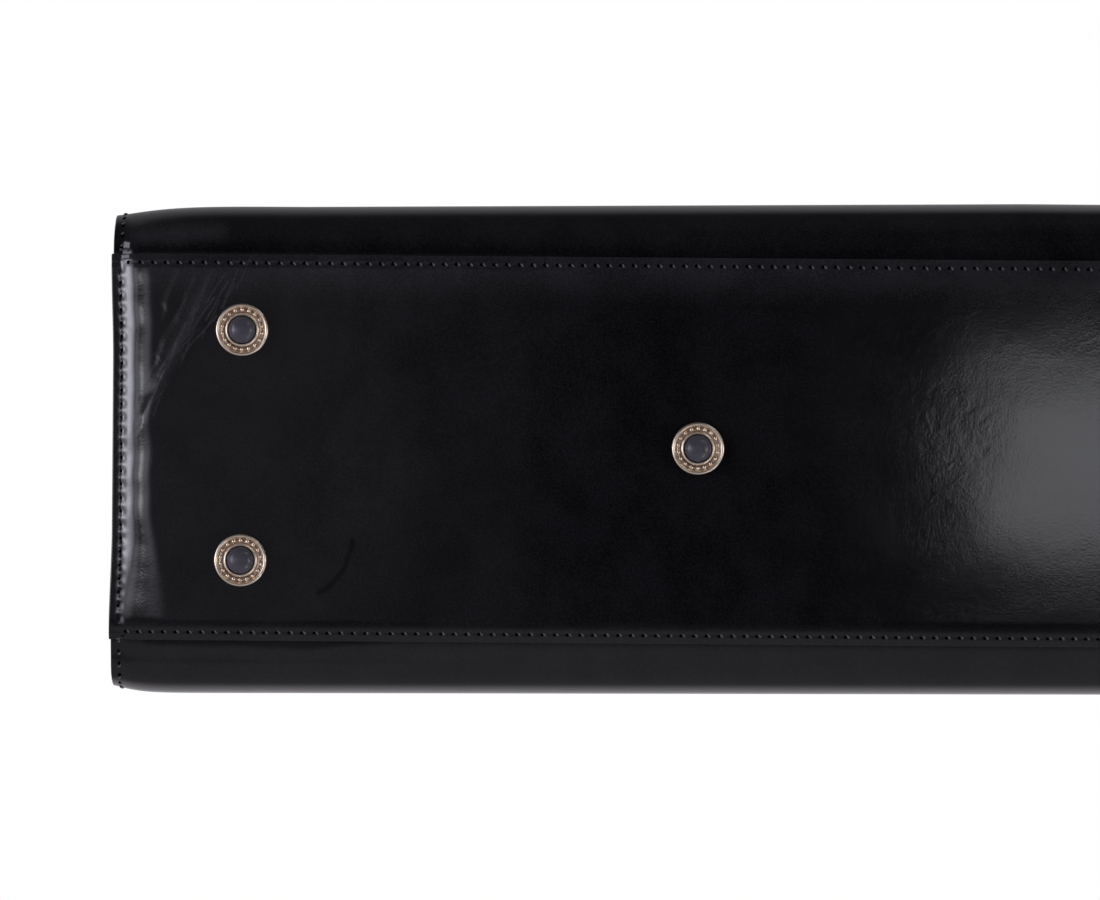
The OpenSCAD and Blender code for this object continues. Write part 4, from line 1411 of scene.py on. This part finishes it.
@dataclass
class Gusset:
    """Half of one end wall, from the base up to its leg of the frame."""

    form: BagForm
    finishes: Finishes
    end: End
    half: Half
    top: float = 243.0
    step: float = 3.2
    bend_r: float = 2.5
    columns: int = 26
    spine_low: float = 45.0
    spine_turn: float = 62.0
    spine_top: float = 246.0
    turn_run: float = 85.0
    leg_d: float = 5.6
    lining_t: float = 0.8
    lining_flat: tuple[float, float] = (0.092, 0.232)
    lining_backs: tuple[float, float] = (3.7, 2.4)

    def rows(self) -> list[tuple[Section, float, float]]:
        """Sections along the seam, each with the place on the spine that it runs to.

        Returns:
            Triples of section, distance from the middle and height on the spine.
        """
        made, run = [], 0.0
        sections = self.form.sections(0.0, self.step, self.top)
        for before, s in zip([sections[0], *sections], sections):
            run += math.hypot(s.d - before.d, s.z - before.z)
            if run < self.turn_run:
                z = mix(self.spine_low, self.spine_turn, run / self.turn_run)
                foot = s.z
            else:
                z = mix(self.spine_turn, self.spine_top, (s.z - foot) / (self.top - foot))
            made.append((s, self.leg_d * smoothstep(161.0, 173.0, z), z))
        return made

    def build(self) -> None:
        """Makes the leather and the lining."""
        word = f"{self.end.word}_gusset"
        side = Vector((self.end.value, 0.0, 0.0))
        leather = MeshMaker(f"{word}_leather_{self.half.panel_name}")
        leather.grid([self._leather_row(*row) for row in self.rows()])
        piece = thicken(leather.build([self.finishes.leather], lambda p: side), self.form.leather_t, 0.4)
        self.form.hang(piece, self.half)
        settle(piece, "black_leather", word)
        self._lining(word, side)

    def _leather_row(self, s: Section, spine_d: float, spine_z: float) -> list[Point]:
        """Points from the flange's edge, round its bend and over to the spine."""
        length = self.form.half_length(s.z)
        stand = self.form.stand(self.half, self.end.value * length, 0.0, s.z)
        depth = 2.0 * self.form.leather_t + 0.1 - stand
        start = s.inside(depth + self.bend_r)
        face = self.form.gusset_face(start[0], start[1])
        line = [(x, depth) for x in spaced(length, face + self.bend_r, 6)]
        for a in spaced(0.0, 0.5 * math.pi, 6)[1:]:
            line.append((
                face + self.bend_r * (1.0 - math.sin(a)), depth + self.bend_r * (1.0 - math.cos(a))
            ))
        row = [(x, *s.inside(deep)) for x, deep in line]
        for t in spaced(0.0, 1.0, self.columns)[1:]:
            d, z = mix(start[0], spine_d, t), mix(start[1], spine_z, t)
            row.append((self.form.gusset_face(d, z), d, z))
        tuck = smoothstep(174.0, 180.0, spine_z)
        row.append((row[-1][0] + 3.0 * tuck, spine_d + 0.3 * tuck, spine_z))
        return [(self.end.value * x, self.half.value * d, z) for x, d, z in row]

    def _lining(self, word: str, side: Vector) -> None:
        """Hangs the lining cloth behind the leather and the end board."""
        maker = MeshMaker(f"{word}_lining_{self.half.panel_name}")
        grid = []
        for s, spine_d, spine_z in self.rows():
            start = s.inside(5.4)
            if s.z < 9.0:
                start = (s.d, 14.0)
            row = []
            for t in spaced(0.0, 1.0, self.columns):
                d, z = mix(start[0], spine_d, t), mix(start[1], spine_z, t)
                back = mix(*self.lining_backs, smoothstep(138.5, 147.0, z))
                row.append((
                    self.end.value * (self.form.gusset_face(d, z) - back), self.half.value * d, z
                ))
            grid.append(row)
        maker.grid(grid)
        piece = thicken(maker.build([self.finishes.cloth], lambda p: side), self.lining_t, 0.2)
        self.form.hang(piece, self.half)
        settle(piece, "lining_cloth", f"{word}_lining")


@dataclass
class RailCover:
    """Leather cover folded round one half of the mouth frame, with its stitching."""

    finishes: Finishes
    half: Half
    half_l: float = 210.0
    top_z: float = 284.0
    leg_end: float = 172.0
    corner_r: float = 16.0
    depth: float = 12.5
    width: float = 12.42
    middle_y: float = 6.29
    round_r: float = 3.4
    lip_r: float = 1.0
    slot_w: float = 6.2
    slot_depth: float = 3.5
    seam_b: float = 3.0
    thread: Stitch = Stitch(pitch=4.2, length=3.0, radius=0.3, slant=-0.22, hole_shade=0.45, gap=1.75)

    def path(self) -> list[tuple[float, float, float, float]]:
        """Outer line of the frame from the left leg to the right, with its outward way."""
        x, z, r = self.half_l, self.top_z, self.corner_r
        line = [(-x, h, -1.0, 0.0) for h in spaced(self.leg_end, z - r, 30)[:-1]]
        for a in spaced(math.pi, 0.5 * math.pi, 14):
            line.append((-x + r + r * math.cos(a), z - r + r * math.sin(a), math.cos(a), math.sin(a)))
        top = [(h, z, 0.0, 1.0) for h in spaced(r - x, x - r, 120)[1:-1]]
        return line + top + [(-p[0], p[1], -p[2], p[3]) for p in reversed(line)]

    def section(self) -> list[tuple[float, float]]:
        """Closed outline across the cover, as across and outward from the mouth."""
        w, h, r, q = self.width / 2.0, self.depth, self.round_r, self.lip_r
        out = []
        for cx, cy, radius, low in (
            (w - q, q, q, -90.0), (w - r, h - r, r, 0.0), (r - w, h - r, r, 90.0), (q - w, q, q, 180.0)
        ):
            for a in spaced(low, low + 90.0, 7):
                out.append((cx + radius * math.cos(math.radians(a)), cy + radius * math.sin(math.radians(a))))
        s = self.slot_w / 2.0
        return out + [(-s, 0.0), (-s, self.slot_depth), (s, self.slot_depth), (s, 0.0)]

    def at(self, p: tuple[float, float, float, float], a: float, b: float) -> Point:
        """Point of the cover at a place on the path, across and outward."""
        back = self.depth - b
        return (p[0] - back * p[2], self.half.value * self.middle_y + a, p[1] - back * p[3])

    def build(self) -> None:
        """Makes the cover and its stitching."""
        word = self.half.rail_name
        maker = MeshMaker(f"{word}_rail_cover_leather")
        outline = self.section()
        rings = []
        for i, p in enumerate(self.path()):
            ring = []
            for j, (a, b) in enumerate(outline):
                puff = 0.16 * wander(i / 7.0, j / 3.0, 20.0 + self.half.value) if j < 28 else 0.0
                ring.append(self.at(p, a * (1.0 + puff / self.width), b + puff * (b / self.depth)))
            rings.append(ring)
        maker.tube(rings)
        piece = ease_edges(maker.build([self.finishes.cover_leather]), 0.5, 50.0)
        settle(piece, "black_leather", f"{word}_rail_cover", self.half.frame_body)
        face = self.half.value * self.width / 2.0
        look = Vector((0.0, self.half.value, 0.0))
        path = [(Vector(self.at(p, face, self.seam_b)), look) for p in self.path()]
        seam = Seam(f"{word}_cover_seam", self.thread, path, 90 + self.half.value).build(self.finishes)
        settle(seam, "black_leather", body=self.half.frame_body)


@dataclass
class Handle:
    """Stuffed leather grip, sewn along its underside."""

    finishes: Finishes
    span: float = 160.0
    y: float = 6.5
    foot_z: float = 305.2
    bend_z: float = 317.0
    bend_r: float = 32.0
    end_r: float = 8.4
    mid_r: float = 11.0
    ridge: float = 1.9
    ridge_w: float = 0.16
    sides: int = 48
    fill: float = 0.95
    seam_turn: float = 0.30
    seam_shares: tuple[float, float] = (0.13, 0.87)
    thread: Stitch = Stitch(pitch=4.2, length=3.0, radius=0.3, slant=-0.22, hole_shade=0.42, gap=1.75)

    def path(self) -> list[tuple[Vector, Vector]]:
        """Middle line of the grip, with the way towards the hand's side."""
        x, r = self.span / 2.0, self.bend_r
        right, down = Vector((1.0, 0.0, 0.0)), Vector((0.0, 0.0, -1.0))
        line = [(Vector((-x, self.y, z)), right) for z in spaced(self.foot_z, self.bend_z, 7)[:-1]]
        for a in spaced(math.pi, 0.5 * math.pi, 20):
            way = Vector((math.cos(a), 0.0, math.sin(a)))
            line.append((Vector((r - x, self.y, self.bend_z)) + way * r, -way))
        top = [(Vector((h, self.y, self.bend_z + r)), down) for h in spaced(r - x, x - r, 44)[1:-1]]
        return line + top + [
            (Vector((-p.x, p.y, p.z)), Vector((-w.x, w.y, w.z))) for p, w in reversed(line)
        ]

    def girth(self, share: float) -> float:
        """Radius of the grip at a share of its length."""
        return mix(self.end_r, self.mid_r, math.sin(math.pi * share) ** 1.4)

    def build(self) -> None:
        """Makes the grip and its seam."""
        maker, line = MeshMaker("handle_grip_leather"), self.path()
        across = Vector((0.0, 1.0, 0.0))
        rings, seams = [], {1: [], -1: []}
        for i, (p, inner) in enumerate(line):
            share = i / (len(line) - 1)
            r = self.girth(share)
            ring = []
            for a in turns(self.sides):
                turn = min(a, 2.0 * math.pi - a)
                crimp = 0.10 * wander(i / 1.9, a * 2.0, 31.0) * hump(turn, 0.0, 1.4)
                ridge = self.ridge * hump(turn, 0.0, self.ridge_w)
                radius = r * (1.0 + 0.03 * math.cos(2 * a)) + ridge + crimp
                ring.append(tuple(p + inner * (radius * math.cos(a)) + across * (radius * math.sin(a))))
            rings.append(ring)
            if self.seam_shares[0] < share < self.seam_shares[1]:
                for side in seams:
                    out = inner * math.cos(self.seam_turn) + across * (side * math.sin(self.seam_turn))
                    look = (inner * 0.25 + across * side).normalized()
                    seams[side].append((p + out * (r * 1.03 + 0.25), look))
        maker.tube(rings)
        piece = ease_edges(maker.build([self.finishes.grip_leather]), 0.5, 50.0)
        settle(piece, "black_leather", "handle_grip", "handle")
        for side, path in seams.items():
            name = "handle_seam_back" if side > 0 else "handle_seam_front"
            seam = Seam(name, self.thread, path, 120 + side).build(self.finishes)
            settle(seam, "black_leather", body="handle")


@dataclass
class Fittings:
    """Rigid pieces of the frame, lock, handle and base that keep their own shape."""

    finishes: Finishes
    ease: float = 0.35
    lock_ease: float = 0.15

    def build(self) -> None:
        """Eases the metal that shows and dresses the nodes that stay."""
        gold = (
            "strike_plate", "lock_case", "lock_slide", "key_barrel", "left_handle_bracket",
            "right_handle_bracket", "left_ferrule", "right_ferrule",
        )
        for node in gold:
            ease = self.lock_ease if node in ("strike_plate", "lock_slide") else self.ease
            eased_copy(node, ease, self.finishes.gold, "pale_gold")
        kept = {
            self.finishes.gold: (
                "strike_screws", "lock_screws", "handle_bracket_screws", "left_handle_pin",
                "right_handle_pin", "left_hinge_pin", "right_hinge_pin",
            ),
            self.finishes.steel: (
                "front_rail", "rear_rail", "left_hinge_bracket", "right_hinge_bracket",
                "hinge_bracket_rivets", "foot_posts", "foot_washers", "handle_core",
            ),
            self.finishes.board: (
                "base_board", "front_board", "back_board", "left_end_board", "right_end_board",
            ),
        }
        for material, nodes in kept.items():
            for node in nodes:
                mesh = frame["nodes"][node].data
                mesh.materials.clear()
                mesh.materials.append(material)
                LOG.info("%s: %s", node, material.name)


@dataclass(frozen=True)
class Lamp:
    """A soft panel of light, tall along Y."""

    name: str
    place: Point
    aim: Point
    wide: float
    tall: float
    glow: float
    colour: Colour = (1.0, 1.0, 1.0)
    soft: float = 0.0

    def build(self) -> None:
        """Makes the panel, which gives its glow as radiance."""
        data = bpy.data.lights.new(self.name, "AREA")
        data.shape, data.size, data.size_y = "RECTANGLE", self.wide, self.tall
        data.energy = self.glow * math.pi * self.wide * self.tall
        data.color = self.colour
        lamp = add_object(self.name, data)
        back = (Vector(self.place) - Vector(self.aim)).normalized()
        right = Vector((0.0, 1.0, 0.0)).cross(back).normalized()
        turn = Matrix((right, back.cross(right), back)).transposed().to_4x4()
        lamp.matrix_world = Matrix.Translation(self.place) @ turn
        lamp.visible_camera = False
        if self.soft:
            self._fade(data)

    def _fade(self, data: bpy.types.Light) -> None:
        """Fades the panel towards its edges, as the cloth of a soft box does."""
        tree = Tree.fresh(data)
        where = tree.add("ShaderNodeNewGeometry").outputs["Parametric"]
        off = tree.vector("ABSOLUTE", tree.vector("SUBTRACT", where, (0.5, 0.5, 0.0)).outputs[0])
        part = tree.add("ShaderNodeSeparateXYZ", {0: off.outputs[0]})
        across, along = (tree.ranged(part.outputs[i], 0.5 - self.soft, 0.5, 1.0, 0.0) for i in (0, 1))
        glow = tree.add("ShaderNodeEmission", {"Strength": tree.math("MULTIPLY", across, along)})
        tree.add("ShaderNodeOutputLight", {"Surface": glow.outputs[0]})


@dataclass
class Studio:
    """Camera, lamps, world and floor."""

    distance: float = 1.8
    frame_width: float = 0.4061
    aim: tuple[float, float] = (-0.0546, 0.00097)
    roll: float = 0.445
    floor_size: float = 4.0
    glow_behind: float = 0.33
    glow_before: float = 0.075
    glow_above: float = 0.28
    glow_least: float = 0.008
    lamps: tuple[Lamp, ...] = (
        Lamp("right_panel", (0.412, 0.006, -1.75), (0.1, 0.0, 0.0), 0.31, 0.145, 2.6, (0.93, 0.94, 1.0)),
        Lamp("left_sheen", (-0.37, -0.03, -1.75), (-0.15, 0.0, 0.0), 0.40, 0.5, 0.09, (0.90, 0.90, 1.0)),
        Lamp("left_haze", (-0.31, -0.03, -1.76), (-0.15, 0.0, 0.0), 0.52, 0.6, 0.07, (0.90, 0.90, 1.0)),
        Lamp("left_low", (-0.68, -0.01, -1.73), (-0.2, 0.0, 0.0), 0.60, 0.48, 2.3, (0.88, 0.89, 1.0), 0.5),
        Lamp("left_panel", (-1.03, 0.01, -1.76), (-0.2, 0.0, 0.0), 0.60, 0.30, 7.0, (0.90, 0.92, 1.0), 0.5),
        Lamp("left_gap", (-1.23, 0.0, -1.42), (-0.2, 0.0, 0.0), 0.44, 0.44, 2.3, (0.89, 0.89, 1.0), 0.4),
        Lamp("left_side", (-1.59, 0.0, -0.80), (-0.2, 0.0, 0.0), 1.25, 0.84, 2.2, (0.89, 0.88, 1.0), 0.14),
        Lamp("left_core", (-1.51, -0.04, -0.90), (-0.2, 0.0, 0.0), 0.86, 0.60, 8.6, (0.89, 0.88, 1.0), 0.5),
        Lamp("left_front", (-1.60, -0.62, -0.76), (-0.2, 0.0, 0.0), 0.5, 0.34, 4.0, (0.89, 0.88, 1.0)),
        Lamp("right_side", (1.5, 0.1, -0.9), (0.0, 0.0, 0.0), 0.6, 0.6, 4.5),
        Lamp("low_back", (1.0, 1.3, -0.8), (0.0, 0.0, 0.0), 0.5, 0.5, 4.0),
        Lamp("back_left", (-1.60, 0.68, -0.76), (-0.2, 0.0, 0.0), 0.6, 0.5, 0.5, (0.89, 0.88, 1.0)),
        Lamp("low_front", (1.0, -1.3, -0.8), (0.0, 0.0, 0.0), 0.5, 0.5, 3.0),
        Lamp("key", (1.6, -1.8, 1.9), (0.0, 0.0, 0.15), 1.2, 1.2, 7.5),
        Lamp("fill", (-1.9, -1.1, 1.3), (0.0, 0.0, 0.15), 1.3, 1.3, 2.2),
        Lamp("rim", (1.6, 1.9, 1.7), (0.0, 0.0, 0.15), 1.2, 1.0, 3.6),
    )

    def build(self) -> None:
        """Sets up everything round the bag."""
        bpy.context.scene.view_settings.view_transform = "Standard"
        self._camera()
        for lamp in self.lamps:
            lamp.build()
        self._world()
        self._floor()

    def _camera(self) -> None:
        """Looks up at the base, as the photograph does."""
        data = bpy.data.cameras.new("camera")
        data.sensor_fit, data.sensor_width = "HORIZONTAL", 36.0
        data.lens = data.sensor_width * self.distance / self.frame_width
        data.clip_start, data.clip_end = 0.05, 50.0
        camera = add_object("camera", data)
        a = math.radians(self.roll)
        right, up, back = (
            Vector((math.cos(a), -math.sin(a), 0.0)),
            Vector((-math.sin(a), -math.cos(a), 0.0)),
            Vector((0.0, 0.0, -1.0)),
        )
        turn = Matrix((right, up, back)).transposed().to_4x4()
        camera.matrix_world = Matrix.Translation((*self.aim, 0.0055 - self.distance)) @ turn
        bpy.context.scene.camera = camera

    def _world(self) -> None:
        """White to the camera, and a soft room for everything else."""
        world = bpy.data.worlds.new("studio")
        bpy.context.scene.world = world
        tree = Tree.fresh(world)
        way = tree.add("ShaderNodeSeparateXYZ", {0: tree.add("ShaderNodeTexCoord").outputs["Generated"]})
        behind = tree.ranged(way.outputs[1], 0.05, 0.42, 0.0, self.glow_behind)
        before = tree.ranged(way.outputs[1], -0.2, -0.75, 0.0, self.glow_before)
        above = tree.ranged(way.outputs[2], -0.05, 0.6, 0.0, self.glow_above)
        glow = tree.math("ADD", tree.math("ADD", behind, before), tree.math("ADD", above, self.glow_least))
        room = tree.add("ShaderNodeBackground", {"Color": (0.98, 0.94, 1.0, 1.0), "Strength": glow})
        white = tree.add("ShaderNodeBackground", {"Color": (1.0, 1.0, 1.0, 1.0), "Strength": 1.0})
        seen = tree.add("ShaderNodeLightPath").outputs["Is Camera Ray"]
        both = tree.add("ShaderNodeMixShader", {0: seen, 1: room.outputs[0], 2: white.outputs[0]})
        tree.add("ShaderNodeOutputWorld", {"Surface": both.outputs[0]})

    def _floor(self) -> None:
        """Pale floor that shows from above only and fades out into white."""
        maker = MeshMaker("floor")
        reach = self.floor_size * 1000.0
        maker.grid([[(x, y, -0.3) for x in spaced(-reach, reach, 9)] for y in spaced(-reach, reach, 9)])
        material = bpy.data.materials.new("pale_floor")
        tree = Tree.fresh(material)
        where = tree.add("ShaderNodeTexCoord").outputs["Object"]
        far = tree.vector("LENGTH", where).outputs["Value"]
        fade = tree.ranged(far, 0.7, 1.9, 1.0, 0.0)
        front = tree.math("SUBTRACT", 1.0, tree.add("ShaderNodeNewGeometry").outputs["Backfacing"])
        passed = tree.add("ShaderNodeLightPath").outputs["Transparent Depth"]
        seen = tree.math("MULTIPLY", front, tree.math("LESS_THAN", passed, 0.5))
        shown = tree.math("MULTIPLY", seen, fade)
        grain = tree.ranged(tree.noise(where, 900.0, 2.0), 0.3, 0.7, 0.0, 1.0)
        tone = tree.blend(grain, (0.815, 0.815, 0.81), (0.83, 0.83, 0.825))
        matte = tree.add("ShaderNodeBsdfDiffuse", {"Color": tone})
        clear = tree.add("ShaderNodeBsdfTransparent")
        both = tree.add("ShaderNodeMixShader", {0: shown, 1: clear.outputs[0], 2: matte.outputs[0]})
        tree.add("ShaderNodeOutputMaterial", {"Surface": both.outputs[0]})
        maker.build([material], lambda p: Vector((0.0, 0.0, 1.0)))


def main() -> None:
    """Builds the bag piece by piece, then the studio round it."""
    logging.basicConfig(level=logging.INFO, format="%(name)s %(message)s")
    form, finishes = BagForm(), Finishes()
    Studio().build()
    base = Base(form, finishes)
    base.build()
    Feet(base, finishes).build()
    for half in Half:
        Wall(form, finishes, half).build()
        for end in End:
            Gusset(form, finishes, end, half).build()
        RailCover(finishes, half).build()
    Handle(finishes).build()
    Fittings(finishes).build()


if __name__ == "__main__":
    main()
